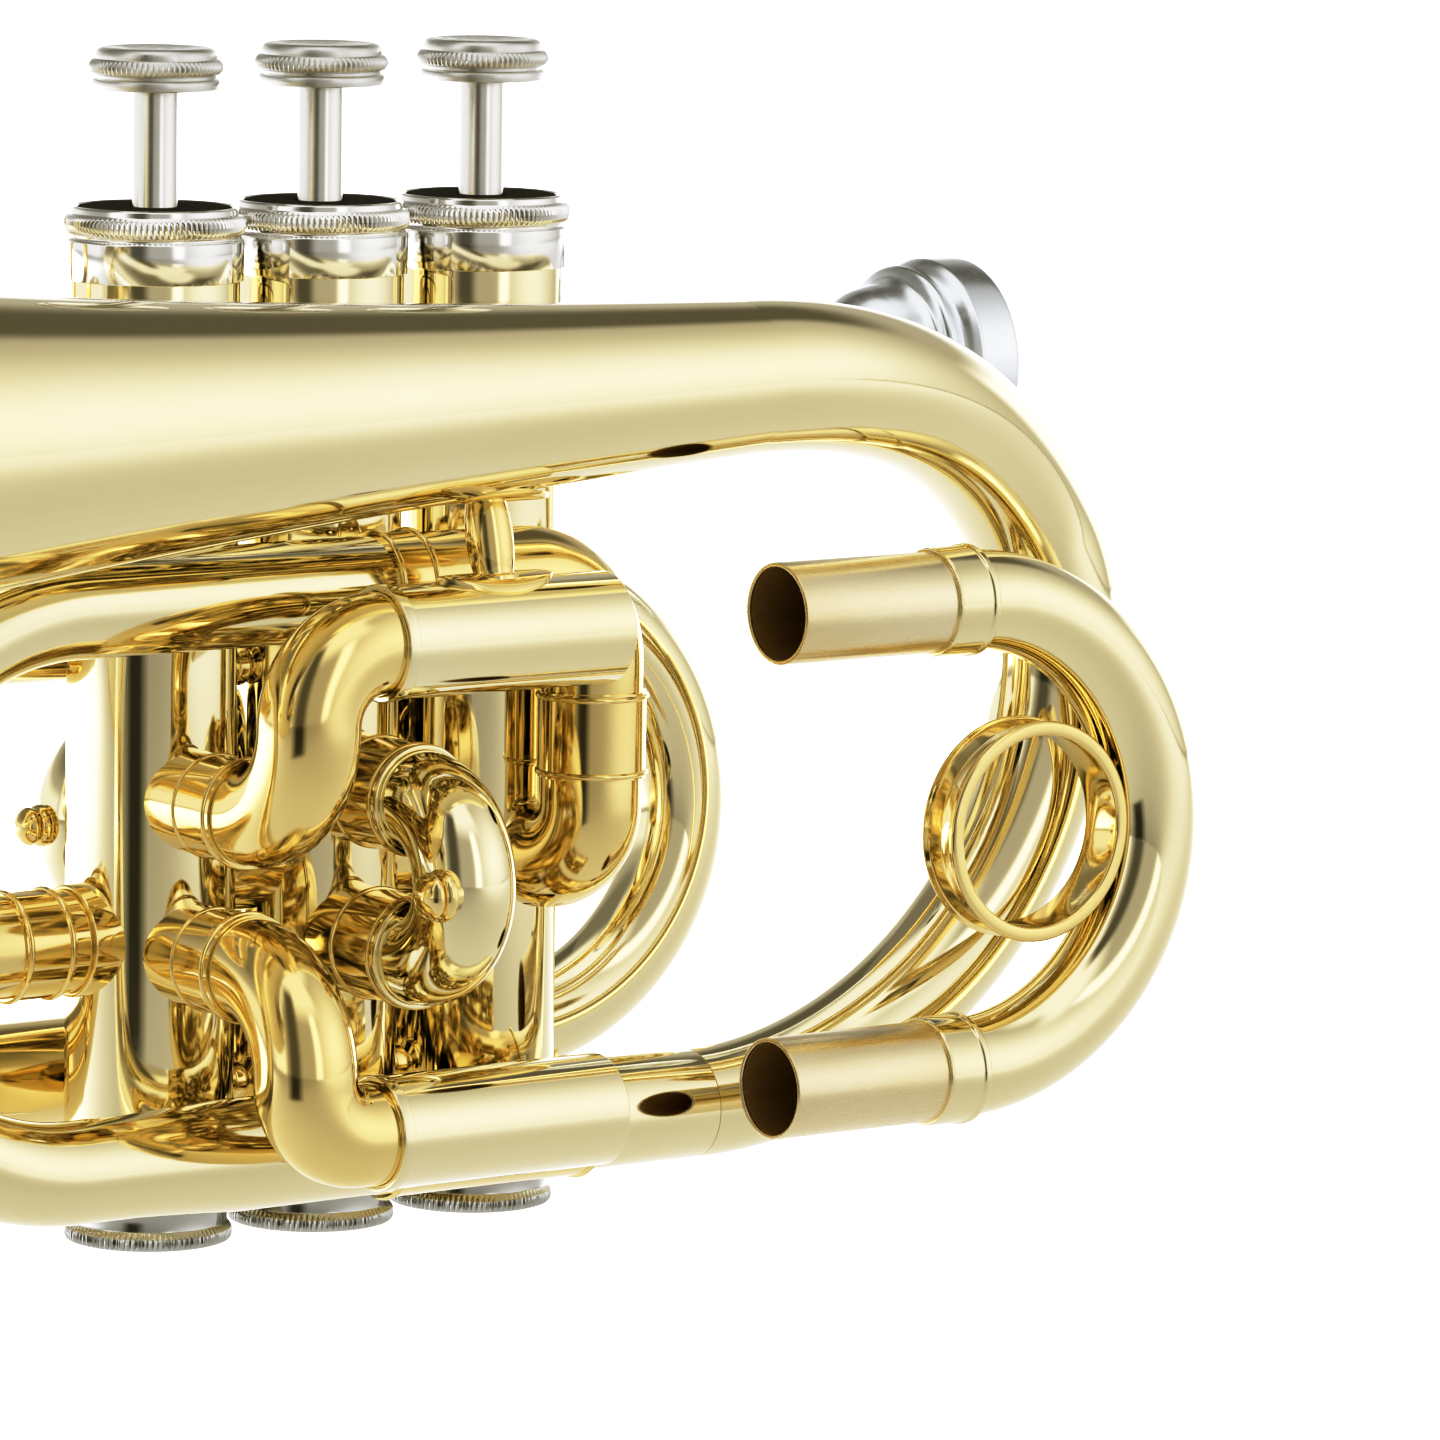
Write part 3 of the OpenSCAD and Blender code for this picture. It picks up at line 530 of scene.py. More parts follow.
def make_bow():
    """The bow from the bell's throat down to the tail, narrowing as it goes."""
    steps = 90
    angles = [bow_start - (bow_start + math.pi / 2) * i / steps for i in range(steps + 1)]
    ahead = math.radians(0.2)
    route = Route(bell_base, -bell_axis)
    for a in angles[1:]:
        route.to(bow_point(a), bow_point(max(a - ahead, -math.pi / 2)) - bow_point(a + ahead))
    r0 = bell_radius(bell_length)
    outer = [Vector((st[0], r0 + (tail_r - r0) * i / steps)) for i, st in enumerate(route.stations)]
    inner = [p - Vector((0, BELL_WALL)) for p in reversed(outer)]
    Shape().skin(route, outer + inner, 96).place("bell_bow_tube", BRASS_PAINTED_LIT, "bell_bow")


def make_bottom_run():
    start = low("bell_tail").x
    tail = Route((start, left_y, bottom_z), X).go(2 * half("bell_tail").x)
    Shape().pipe(tail, tail_r).place("bell_tail_tube", BRASS_PAINTED_LIT, "bell_tail")
    sleeve = Route((low("bell_sleeve").x, left_y, bottom_z), X).go(2 * half("bell_sleeve").x)
    Shape().ferrule(sleeve, tail_r + 0.45 * MM, tail_r).place(
        "bell_sleeve_ring", BRASS, "bell_sleeve")


def make_front_crook():
    crook_r = (branch_z - bottom_z) / 2
    crook_x = low("front_crook").x + crook_r + tube_r
    branch_x = low("top_branch").x + 3 * MM
    lead, taper = 8 * MM, 14 * MM
    route = Route((branch_x, left_y, branch_z), -X).go(branch_x - crook_x)
    route.turn_back(-Z, crook_r).go(lead)
    start = route.length
    route.go(high("front_crook").x - crook_x - lead)
    end = route.length
    outer = [(0, tube_r), (start, tube_r), (start + taper, tail_r), (end, tail_r)]
    inner = [(s, r - wall) for s, r in reversed(outer)]
    Shape().skin(route, outer + inner).place("front_crook_tube", BRASS_PAINTED_LIT, "front_crook")


def make_top_branch():
    branch_x = low("top_branch").x + 3 * MM
    elbow_x = high("top_branch").x - tube_r
    bend = 11 * MM
    joint = low("top_branch").z
    route = Route((branch_x, left_y, branch_z), X).go(elbow_x - bend - branch_x)
    route.turn(-Z, bend).go(branch_z - bend - joint)
    shape = Shape().pipe(route, tube_r)
    ring = Route((branch_x - 3 * MM, left_y, branch_z), X).go(6 * MM)
    shape.ferrule(ring, tube_r + 0.4 * MM, tube_r - 0.1 * MM)
    shape.place("top_branch_tube", BRASS, "top_branch")

    top = high("elbow_sleeve").z
    sleeve = Route((elbow_x, left_y, top), -Z).go(2 * half("elbow_sleeve").z)
    Shape().ferrule(sleeve, tube_r + 0.45 * MM, tube_r).place(
        "elbow_sleeve_ring", BRASS, "elbow_sleeve")

    inward = Vector((valve_x[1] - elbow_x, -left_y, 0)).normalized()
    bend = 7.5 * MM
    drop = Route((elbow_x, left_y, joint), -Z).go(joint - low("valve1_elbow").z - tube_r - bend)
    reach = (Vector((elbow_x, left_y)) - Vector((valve_x[1], 0))).length
    drop.turn(inward, bend).go(reach - bend - port_r)
    Shape().pipe(drop, tube_r).place("valve1_elbow_tube", BRASS, "valve1_elbow")


# --- Leadpipe, tuning slide and the way into the third valve ---


def make_leadpipe():
    start = high("leadpipe").x
    route = Route((start, right_y, leadpipe_z), -X).go(2 * half("leadpipe").x)
    end = route.length
    outer = [(0, 4.9 * MM), (40 * MM, 5.6 * MM), (end, tube_r)]
    inner = [(end, tube_r - wall), (40 * MM, 5.1 * MM), (0, 4.4 * MM)]
    Shape().skin(route, outer + inner).place("leadpipe_tube", BRASS_PAINTED_LIT, "leadpipe")

    first, length = low("receiver").x, 2 * half("receiver").x
    outline = rounded(
        [(0, 5.6 * MM), (0, 5.9 * MM), (3 * MM, 6 * MM), (length - 7 * MM, 6 * MM),
         (length - 6 * MM, 6.9 * MM), (length - MM, 6.9 * MM), (length, 6.3 * MM),
         (length, 4.99 * MM), (8 * MM, 4.4 * MM), (7 * MM, 5.6 * MM)], 0.4 * MM)
    body = Route((first, right_y, leadpipe_z), X).go(length)
    shape = Shape().skin(body, outline)
    for s in (length - 9 * MM, 1.2 * MM):
        ring = Route((first + s, right_y, leadpipe_z), X).go(MM)
        shape.skin(ring, beaded_outline(0.8 * MM, 6 * MM, 5.6 * MM, [0.4 * MM]), 96)
    shape.place("receiver_sleeve", BRASS, "receiver")


def make_leadpipe_bend():
    bend = (leadpipe_z - tuning_z[0]) / 2
    front_x = low("tuning_outer_tubes").x
    shape = Shape().pipe(Route((front_x, right_y, leadpipe_z), -X).turn_back(-Z, bend), tube_r)
    shape.ferrule(Route((front_x, right_y, leadpipe_z), X).go(7 * MM), tube_r + 0.4 * MM, tube_r)
    shape.place("leadpipe_bend_tube", BRASS_PAINTED_LIT, "leadpipe_bend")


def slide_outer_outline(length, socket):
    """An outer slide tube: a joint collar at its foot and a plain open end."""
    collar, step = outer_r + 0.25 * MM, 1.6 * MM
    return rounded(
        [(0, tube_r), (0, collar), (step, collar), (step, outer_r), (length, outer_r),
         (length, slide_bore), (socket, slide_bore), (socket, tube_r)], 0.2 * MM)


def make_tuning_outer_tubes():
    end = high("tuning_outer_tubes").x
    entry_x = high("entry_crook").x
    shape = Shape()
    for x, z in ((low("tuning_outer_tubes").x, tuning_z[0]), (entry_x, tuning_z[1])):
        route = Route((x, right_y, z), X).go(end - x)
        shape.skin(route, slide_outer_outline(route.length, 4 * MM))
    shape.place("tuning_outers", BRASS, "tuning_outer_tubes")


def make_entry():
    entry_x = high("entry_crook").x
    entry_z = middle("entry_tube").z
    start, finish = Vector((entry_x, right_y, tuning_z[1])), Vector((entry_x, 0, entry_z))
    bend = (finish - start).length / 2
    route = Route(start, -X).turn(finish - start, bend).turn(X, bend)
    Shape().pipe(route, tube_r).place("entry_crook_tube", BRASS, "entry_crook")
    shape = Shape().pipe(Route(finish, X).go(valve_x[3] - port_r - entry_x), tube_r)
    ring = Route(finish + 5 * MM * X, X).go(7 * MM)
    shape.ferrule(ring, tube_r + 0.35 * MM, tube_r - 0.05 * MM)
    collar = valve_x[3] - casing_r - 1.6 * MM
    shape.skin(Route((collar, 0, entry_z), X).go(6 * MM),
               tube_outline(0, 6 * MM, tube_r + 0.6 * MM, tube_r - 0.05 * MM, 0.3 * MM))
    shape.place("entry_pipe", BRASS, "entry_tube")


def make_tuning_slide():
    x = high("tuning_slide_legs").x
    first = low("tuning_slide_legs").x
    outer_end = high("tuning_outer_tubes").x + 0.3 * MM
    legs, collars = Shape(), Shape()
    for z in tuning_z:
        legs.pipe(Route((first, right_y, z), X).go(x - first), slide_r)
        collars.skin(Route((outer_end, right_y, z), X).go(x - outer_end),
                     rounded([(0, slide_r - 0.1 * MM), (0, outer_r), (x - outer_end, outer_r),
                              (x - outer_end, slide_r - 0.1 * MM)], 0.4 * MM))
    legs.place("tuning_inner_tubes", DRAWN, "tuning_slide_legs", body="tuning_slide")
    collars.place("tuning_collars", BRASS_PAINTED_LIT, body="tuning_slide")
    bend = (tuning_z[0] - tuning_z[1]) / 2
    bow = Route((x, right_y, tuning_z[0]), X).turn_back(-Z, bend)
    Shape().pipe(bow, tube_r, segments=96).place(
        "tuning_bow", BRASS_PAINTED_LIT, "tuning_slide_bow", body="tuning_slide")


# --- Valve block ---


def make_casings():
    length = casing_top - casing_low
    bore = casing_r - 1.7 * MM
    for n, x in valve_x.items():
        route = Route((x, 0, casing_low), Z).go(length)
        Shape().skin(route, tube_outline(0, length, casing_r, bore, 0.3 * MM), 160).place(
            f"valve_casing_{n}", BRASS_PAINTED_LIT, f"casing_{n}")


def make_casing_links():
    gap = valve_x[1] - valve_x[2] - 2 * casing_r
    link_z = sum(second_z) / 2
    post = rounded([(0, 0), (0, 2.2 * MM), (gap * 0.5, 1.6 * MM), (gap * 0.75, 2.7 * MM),
                    (gap * 1.25, 2.7 * MM), (gap * 1.5, 1.6 * MM), (2 * gap, 2.2 * MM),
                    (2 * gap, 0)], 0.3 * MM)
    shape = Shape()
    for side in (-1, 1):
        x = side * valve_x[1] / 2
        shape.pipe(Route((x - gap - MM, 0, link_z), X).go(2 * gap + 2 * MM), tube_r)
        for z in (5.5 * MM, 38 * MM, -46 * MM):
            shape.skin(Route((x - gap, 0, z), X).go(2 * gap), post, 32)
    shape.place("casing_link_tubes", BRASS, "casing_links")


def make_third_knuckles():
    end = low("third_knuckles").y
    shape = Shape()
    wide = 2.2 * MM
    for z in second_z:
        route = Route((valve_x[3], -leg_port_r, z), -Y).go(-leg_port_r - end)
        bead = 14.5 * MM - leg_port_r
        shape.skin(route, beaded_outline(route.length, tube_r, tube_r - wall, [bead], 0.25 * MM))
        ring = Route((valve_x[3], end + wide, z), -Y).go(wide)
        shape.skin(ring, beaded_outline(wide, tube_r + 0.35 * MM, tube_r - 0.1 * MM, [wide / 2],
                                        0.3 * MM))
    shape.place("third_knuckle_tubes", BRASS, "third_knuckles")


def make_third_bends():
    y = low("third_knuckles").y
    first = y - third_y
    x = low("third_outer_tubes").x + 4 * MM
    shape = Shape()
    for z0, z1 in zip(second_z, third_z):
        rise = Z if z1 > z0 else -Z
        second = abs(z1 - z0) - first
        route = Route((valve_x[3], y, z0), -Y).turn(rise, first).turn(X, second)
        shape.pipe(route.go(x - route.point.x), tube_r, segments=96)
    shape.place("third_bend_tubes", BRASS, "third_bends")
    shape = Shape()
    length = 2 * half("third_outer_tubes").x
    for z in third_z:
        shape.skin(Route((low("third_outer_tubes").x, third_y, z), X).go(length),
                   slide_outer_outline(length, 4.5 * MM), 96)
    shape.place("third_outers", BRASS_PAINTED_LIT, "third_outer_tubes")


def make_second_outers():
    end = low("second_outer_tubes").y
    shape = Shape()
    for z in second_z:
        route = Route((valve_x[2], -leg_port_r, z), -Y).go(-leg_port_r - end)
        beads = [14 * MM - leg_port_r, route.length - MM]
        shape.skin(route, beaded_outline(route.length, tube_r + 0.5 * MM, slide_bore, beads,
                                         0.3 * MM))
    shape.place("second_outers", BRASS, "second_outer_tubes")


def make_first_bends():
    turn = 7.7 * MM
    first_x = valve_x[1] - turn
    end = low("first_outer_tubes").x
    bends, outers = Shape(), Shape()
    for z in first_z:
        route = Route((valve_x[1], port_r, z), Y)
        bends.pipe(route.go(right_y - turn - port_r).turn(-X, turn).go(3 * MM), tube_r)
        outers.skin(Route((first_x, right_y, z), -X).go(first_x - end),
                    slide_outer_outline(first_x - end, 3 * MM))
    bends.place("first_bend_tubes", BRASS, "first_bends")
    outers.place("first_outers", BRASS, "first_outer_tubes")


# --- Moving slides ---


def make_third_slide():
    x0, x1 = low("third_slide_legs").x, high("third_slide_legs").x
    ferrule = low("third_slide_ferrules").x
    bore = slide_r - 0.55 * MM
    inset, film = 0.5 * MM, 0.05 * MM
    ring = rounded(in_mm([(0, slide_r / MM - 0.1), (0, 6.7), (0.5, 6.8), (5, 6.8), (5.2, 7.05),
                          (5.9, 7.05), (6.2, 6.6), (6.2, slide_r / MM - 0.1)]), 0.15 * MM)
    legs, linings, rings = Shape(), Shape(), Shape()
    for z in third_z:
        leg = Route((x0, third_y, z), X).go(x1 - x0)
        legs.skin(leg, tube_outline(0, leg.length, slide_r, bore, 0.2 * MM), 96)
        lining = tube_outline(inset, leg.length, bore + film, bore - film, 0.03 * MM)
        linings.skin(leg, lining, 96)
        rings.skin(Route((ferrule, third_y, z), X).go(6.2 * MM), ring, 96)
    legs.place("third_inner_tubes", DRAWN, "third_slide_legs", body="third_slide")
    linings.place("third_bore_tarnish", TARNISHED, body="third_slide")
    rings.place("third_ferrules", BRASS_PAINTED_LIT, "third_slide_ferrules", body="third_slide")
    bend = (third_z[0] - third_z[1]) / 2
    bow = Route((x1, third_y, third_z[0]), X).turn_back(-Z, bend)
    Shape().pipe(bow, tube_r, segments=96).place(
        "third_bow", BRASS_PAINTED_LIT, "third_slide_bow", body="third_slide")


def make_finger_ring():
    centre, r, wide = middle("finger_ring"), half("finger_ring").x, half("finger_ring").y
    outline = [(-wide, r - 1.9 * MM), (-wide, r - 0.4 * MM), (-wide + 0.5 * MM, r)]
    outline += [(-wide + 1.3 * MM, r - 0.5 * MM), (0, r - MM), (wide - 1.3 * MM, r - 0.5 * MM)]
    outline += [(wide - 0.5 * MM, r), (wide, r - 0.4 * MM), (wide, r - 1.9 * MM), (0, r - 2.2 * MM)]
    Shape().skin(Route(centre, -Y), rounded(outline, 0.5 * MM, 4), 128).place(
        "finger_ring_loop", BRASS, "finger_ring", body="third_slide")


def knob(seat, axis, r):
    """A turned pull knob: a foot, a rounded ring and a domed cap."""
    foot = [(-1.5, 0), (-1.5, 1.4), (0, 1.5), (0.1, r * 0.72)]
    ring = curved([(0.1, r * 0.72), (0.35, r * 0.95), (1, r), (1.6, r * 0.9), (1.85, r * 0.7)], 4)
    dome = curved([(1.85, r * 0.7), (2.1, r * 0.86), (2.7, r * 0.9), (3.5, r * 0.68),
                   (4.1, r * 0.3), (4.25, 0)], 5)
    return Shape().skin(Route(seat, axis).go(4 * MM), in_mm(foot + ring[1:] + dome[1:]), 48)


def make_second_slide():
    end = low("second_outer_tubes").y
    first = high("second_slide").y
    bend = (second_z[0] - second_z[1]) / 2
    shape = Shape()
    for z in second_z:
        shape.pipe(Route((valve_x[2], first, z), -Y).go(first - end + 0.5 * MM), slide_r)
        shape.skin(Route((valve_x[2], end, z), -Y).go(0.7 * MM),
                   tube_outline(0, 0.7 * MM, outer_r + 0.1 * MM, slide_r - 0.2 * MM, 0.25 * MM))
    bow = Route((valve_x[2], end - 0.5 * MM, second_z[0]), -Y).turn_back(-Z, bend)
    shape.pipe(bow, tube_r, segments=96)
    shape.place("second_bow", BRASS_PAINTED_LIT, "second_slide", body="second_slide")
    seat = middle("second_slide_knob")
    seat.x = low("second_slide_knob").x + 4.3 * MM
    knob(seat, -X, 3.2).place("second_pull_knob", BRASS, "second_slide_knob", body="second_slide")


def make_first_slide():
    end = low("first_outer_tubes").x
    inner_end = high("first_slide").x
    bend = (first_z[0] - first_z[1]) / 2
    bow_x = low("first_slide").x + bend + tube_r
    shape = Shape()
    for z in first_z:
        shape.pipe(Route((bow_x, right_y, z), X).go(inner_end - bow_x), slide_r)
        shape.skin(Route((bow_x, right_y, z), X).go(end - 0.3 * MM - bow_x),
                   tube_outline(0, end - 0.3 * MM - bow_x, outer_r, slide_r - 0.2 * MM, 0.4 * MM))
    shape.pipe(Route((bow_x, right_y, first_z[0]), -X).turn_back(-Z, bend), tube_r, segments=96)
    shape.place("first_bow", BRASS_PAINTED_LIT, "first_slide", body="first_slide")
    seat = middle("first_slide_knob")
    seat.x = low("first_slide_knob").x + 4.3 * MM
    knob(seat, -X, 2.6).place("first_pull_knob", BRASS, "first_slide_knob", body="first_slide")


# --- Caps, buttons and valve works ---


def make_caps():
    tops, bottoms, felts = Shape(), Shape(), Shape()
    top = in_mm([(52.7, casing_r / MM), (52.7, 10.72), (57.5, 10.75), (57.8, 10.4), (58.1, 10.35),
                 (58.3, 10.7), (58.8, 10.88), (59.4, 10.95), (60.0, 10.88), (60.4, 10.7),
                 (60.7, 10.3), (61.4, 10.15), (61.6, 9.8), (61.4, 9.4), (60.5, 9.3),
                 (60.5, 2.85), (57.7, 2.85), (57.7, 10.05), (57.6, casing_r / MM)])
    bottom = in_mm([(-61.2, 0), (-63.6, 0), (-65, 1.6), (-64.6, 2.6), (-63.6, 3.4), (-64.1, 8.4),
                    (-64.2, 9.4), (-64.0, 10.0), (-63.6, 10.22), (-63.1, 10.25), (-62.6, 10.18),
                    (-62.2, 9.9), (-61.8, 9.6), (-59.6, 9.6), (-59.5, casing_r / MM),
                    (-59.0, casing_r / MM), (-59.0, 8.6), (-55.0, 8.55), (-55.0, 7.4),
                    (-61.2, 7.4)])
    felt_ring = in_mm([(60.55, 9.25), (61.5, 9.25), (61.5, 2.95), (60.55, 2.95)])
    for x in valve_x.values():
        axis = Route((x, 0, 0), Z)
        tops.skin(axis, rounded(top, 0.12 * MM, 2), 384,
                  milled(96, 0.30 * MM, 58.1 * MM, 60.6 * MM))
        bottoms.skin(axis, rounded(bottom, 0.12 * MM, 2), 384,
                     milled(90, 0.28 * MM, -64.3 * MM, -61.9 * MM))
        felts.skin(axis, rounded(felt_ring, 0.25 * MM), 160,
                   lambda s, r, a: 0.06 * MM * math.sin(23 * a) * math.cos(9 * a + 2))
    tops.place("top_cap_rings", SILVER, "top_caps")
    # The bottom caps take the darker plate, which is painted shade under the valves.
    bottoms.place("bottom_cap_rings", CAP_PLATE_PAINTED_SHADE, "bottom_caps")
    felts.place("top_felts", FELT, "cap_felts")


def make_valve(n):
    """One valve's button, stem and spring."""
    x, z = valve_x[n], low(f"button_{n}").z
    body = f"valve_{n}"
    rim = curved([(1.7, 7.25), (1.9, 7.7), (2.3, 8.0), (2.7, 8.1), (3.1, 8.0), (3.5, 7.7),
                  (3.7, 7.35)], 3)
    crown = curved([(3.7, 7.35), (4.2, 7.3), (4.7, 7.05), (5.0, 6.5), (5.03, 5.8), (4.85, 4.6),
                    (4.65, 2.6), (4.58, 0)], 4)
    skirt = [(0, 0), (0, 7.3), (0.15, 7.6), (0.5, 7.65), (1.0, 7.65), (1.2, 7.5), (1.35, 7.25)]
    Shape().skin(Route((x, 0, z), Z), in_mm(skirt + rim + crown[1:]), 288,
                 milled(72, 0.22 * MM, 1.8 * MM, 3.65 * MM)).place(
        f"finger_button_{n}", SATIN, f"button_{n}", body=body)
    foot = low(f"stem_{n}").z
    stem_r = 2.73
    stem = in_mm([(0, 0), (0, 1.6), (3, 1.6), (3, 5), (4, 5), (4, stem_r)])
    stem += [(z - foot, stem_r * MM), (z - foot, 0)]
    Shape().skin(Route((x, 0, foot), Z).go(z - foot), rounded(stem, 0.2 * MM), 64).place(
        f"valve_stem_{n}", NICKEL, f"stem_{n}", body=body)
    make_spring(n)


def make_spring(n):
    """The valve spring's wire, a coil with a closed turn at each end."""
    x, start, end = valve_x[n], low(f"valve_spring_{n}").z, high(f"valve_spring_{n}").z
    r = half(f"valve_spring_{n}").x - 0.45 * MM
    wire = 0.42 * MM
    turns, steps = 9, 28
    rise = end - start - 2 * wire
    line = []
    for i in range(turns * steps + 1):
        t = i / (turns * steps)
        flat = min(1, max(0, (t - 1 / turns) / (1 - 2 / turns)))
        a = 2 * math.pi * turns * t
        line.append(Vector((x + r * math.cos(a), r * math.sin(a), start + wire + rise * flat)))
    route = Route(line[0], line[1] - line[0])
    for before, p, after in zip(line, line[1:], line[2:] + [line[-1]]):
        route.to(p, after - before)
    coil = Shape().skin(route, [(0, 0), (0, wire), (route.length, wire), (route.length, 0)], 10)
    spring = coil.place(f"spring_wire_{n}", STEEL, f"valve_spring_{n}", body=f"valve_{n}")
    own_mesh(spring)


# --- Braces, hook, lyre socket, water key, mouthpiece ---


def make_bell_brace():
    """A turned, leaning post between two leaf-shaped saddles."""
    x = middle("bell_brace").x
    bell_z = bell_base.z - (bell_base.x - x) * math.tan(DROOP)
    bell_r = bell_radius(bell_length - (bell_base.x - x))
    top, foot = bell_z - bell_r, third_z[0] + outer_r
    lean = Vector((0, bell_y - third_y, top - foot))
    rise, sunk = lean.length / MM, 0.5
    shape = Shape()
    post = curved([(0, 2.95), (rise * 0.05, 2.45), (rise * 0.25, 2.74), (rise * 0.5, 2.86),
                   (rise * 0.75, 2.72), (rise * 0.95, 2.42), (rise, 2.95)], 8)
    outline = in_mm([(-sunk, 0), (-sunk, 2.95)] + post + [(rise + sunk, 2.95), (rise + sunk, 0)])
    shape.skin(Route((x, third_y, foot), lean).go(lean.length), outline, 64)
    saddle(shape, Vector((x, third_y, third_z[0])), outer_r, Z, 8.4 * MM, 4.4 * MM)
    saddle(shape, Vector((x, bell_y, bell_z)), bell_r, -Z, 9.2 * MM, 5.6 * MM)
    shape.place("bell_brace_post", BRASS, "bell_brace")


def saddle(shape, centre, r, up, reach, width, thickness=0.75 * MM):
    """A leaf-shaped plate wrapped on a tube along X, thinning towards its edge."""
    rows, columns = 32, 16
    outer, inner = [], []
    for i in range(rows + 1):
        t = -1 + 2 * i / rows
        spread = width * (1 - t * t) ** 0.75
        for k in range(columns + 1):
            u = -1 + 2 * k / columns
            angle = u * max(spread, 0.02 * MM) / r
            edge = max(0.0, 1 - max(abs(u), abs(t)) ** 6)
            out = up * math.cos(angle) + Y * math.sin(angle)
            lift = 0.25 * thickness + 0.75 * thickness * edge ** 0.5
            outer.append(centre + X * (t * reach) + out * (r + lift))
            inner.append(centre + X * (t * reach) + out * (r - 0.05 * MM))
    first = len(shape.verts)
    shape.verts += outer + inner
    across = columns + 1
    size = len(outer)

    def quad(a, b, c, d):
        shape.faces.append((a, b, c, d) if up.z < 0 else (d, c, b, a))

    for i in range(rows):
        for k in range(columns):
            a = first + i * across + k
            quad(a, a + 1, a + across + 1, a + across)
            quad(a + size + across, a + size + across + 1, a + size + 1, a + size)
        for k, flip in ((0, False), (columns, True)):
            a = first + i * across + k
            corners = (a, a + across, a + size + across, a + size)
            quad(*(reversed(corners) if flip else corners))
    for i, flip in ((0, True), (rows, False)):
        for k in range(columns):
            a = first + i * across + k
            corners = (a, a + 1, a + size + 1, a + size)
            quad(*(corners if flip else reversed(corners)))


def make_pipe_braces():
    """Two posts from the casings to the leadpipe, and one between leadpipe and tuning slide."""
    shape = Shape()
    for n in (1, 3):
        route = Route((valve_x[n], casing_r - 0.8 * MM, leadpipe_z), Y)
        route.go(right_y - casing_r - tube_r + 1.6 * MM)
        shape.skin(route, post_outline(route.length / MM, 3.4, 2.5, 2.1, 3.2, 1), 40)
    foot, top = tuning_z[0] + outer_r - 0.5 * MM, leadpipe_z - tube_r + 0.5 * MM
    route = Route((-30 * MM, right_y, foot), Z).go(top - foot)
    shape.skin(route, post_outline(route.length / MM, 3.2, 2.2, 1.8, 2.8, 1.2), 40)
    shape.place("pipe_brace_posts", BRASS, "pipe_braces")


def make_pinky_hook():
    """A flat bar bent into a hook on a saddle plate."""
    at = Vector((-46 * MM, right_y, leadpipe_z))
    width, bend = 5.8 * MM, 9.4 * MM
    route = Route(at + Vector((9, 0, 6)) * MM, Z).go(11 * MM)
    for heading in (-X, -Z, X):
        route.turn(heading, bend)
    shape = Shape().strip(route, width, 1.9 * MM, 0.7 * MM, across=Y)
    foot = Route(at + Vector((-9, 0, 6.4)) * MM, X).go(22 * MM)
    shape.strip(foot, width, 1.4 * MM, 0.5 * MM, across=Y)
    shape.place("pinky_hook_bar", BRASS, "pinky_hook")


def make_lyre_holder():
    """A socket on a web beside the leadpipe, with a boss and its clamp screw."""
    x, y = middle("lyre_screw").x, high("lyre_holder").y - 6.5 * MM
    socket = rounded(in_mm([(0, 2.2), (0, 4.1), (0.8, 4.4), (11.2, 4.4), (12, 4.1), (12, 2.2)]),
                     0.3 * MM)
    shape = Shape().skin(Route((x, y, leadpipe_z - 6 * MM), Z).go(12 * MM), socket, 64)
    boss = rounded(in_mm([(3.6, 1.55), (3.6, 3.2), (6, 3), (6.5, 2.8), (6.5, 1.55)]), 0.3 * MM)
    shape.skin(Route((x, y, leadpipe_z), Y), boss, 48)
    web = Route((x, right_y + tube_r - 0.5 * MM, leadpipe_z), Y)
    web.go(y - right_y - tube_r - 3.2 * MM)
    shape.strip(web, 6 * MM, 6 * MM, MM, across=X)
    shape.place("lyre_socket_body", BRASS, "lyre_holder")
    screw = rounded(in_mm([(2.3, 0), (2.3, 1.5), (7, 1.5), (7, 3.4), (7.4, 4.1), (9.6, 4.1),
                           (10, 3.4), (9.7, 0)]), 0.2 * MM)
    Shape().skin(Route((x, y, leadpipe_z), Y), screw, 192,
                 milled(32, 0.4 * MM, 7.2 * MM, 9.8 * MM)).place(
        "lyre_clamp_screw", STEEL, "lyre_screw", body="lyre_screw")


def make_water_key():
    """A barrel across the tuning bow, with a sprung plunger pressed from its end."""
    x, z = middle("water_key_body").x, low("water_key_body").z + 3.6 * MM
    barrel = rounded(in_mm([(0, 2.25), (0, 3.4), (0.5, 3.6), (11.5, 3.6), (12, 3.4), (12, 2.25)]),
                     0.25 * MM)
    shape = Shape().skin(Route((x, right_y - 6 * MM, z), Y).go(12 * MM), barrel, 64)
    shape.skin(Route((x, right_y, z + 2.6 * MM), Z).go(3 * MM),
               rounded(in_mm([(0, 0), (0, 3), (2.6, 3), (2.6, 0)]), 0.3 * MM), 48)
    shape.place("water_key_barrel", BRASS, "water_key_body", body="tuning_slide")
    first = low("water_key_plunger").y
    rod = in_mm([(0, 0), (0, 2.1), (15, 2.15), (15, 3.1), (15.3, 3.3), (16.1, 3.3), (16.4, 3.0),
                 (16.2, 0)])
    Shape().skin(Route((x, first, z), Y), rounded(rod, 0.2 * MM), 128,
                 milled(32, 0.25 * MM, 15.1 * MM, 16.3 * MM)).place(
        "water_key_button", STEEL, "water_key_plunger", body="water_key")


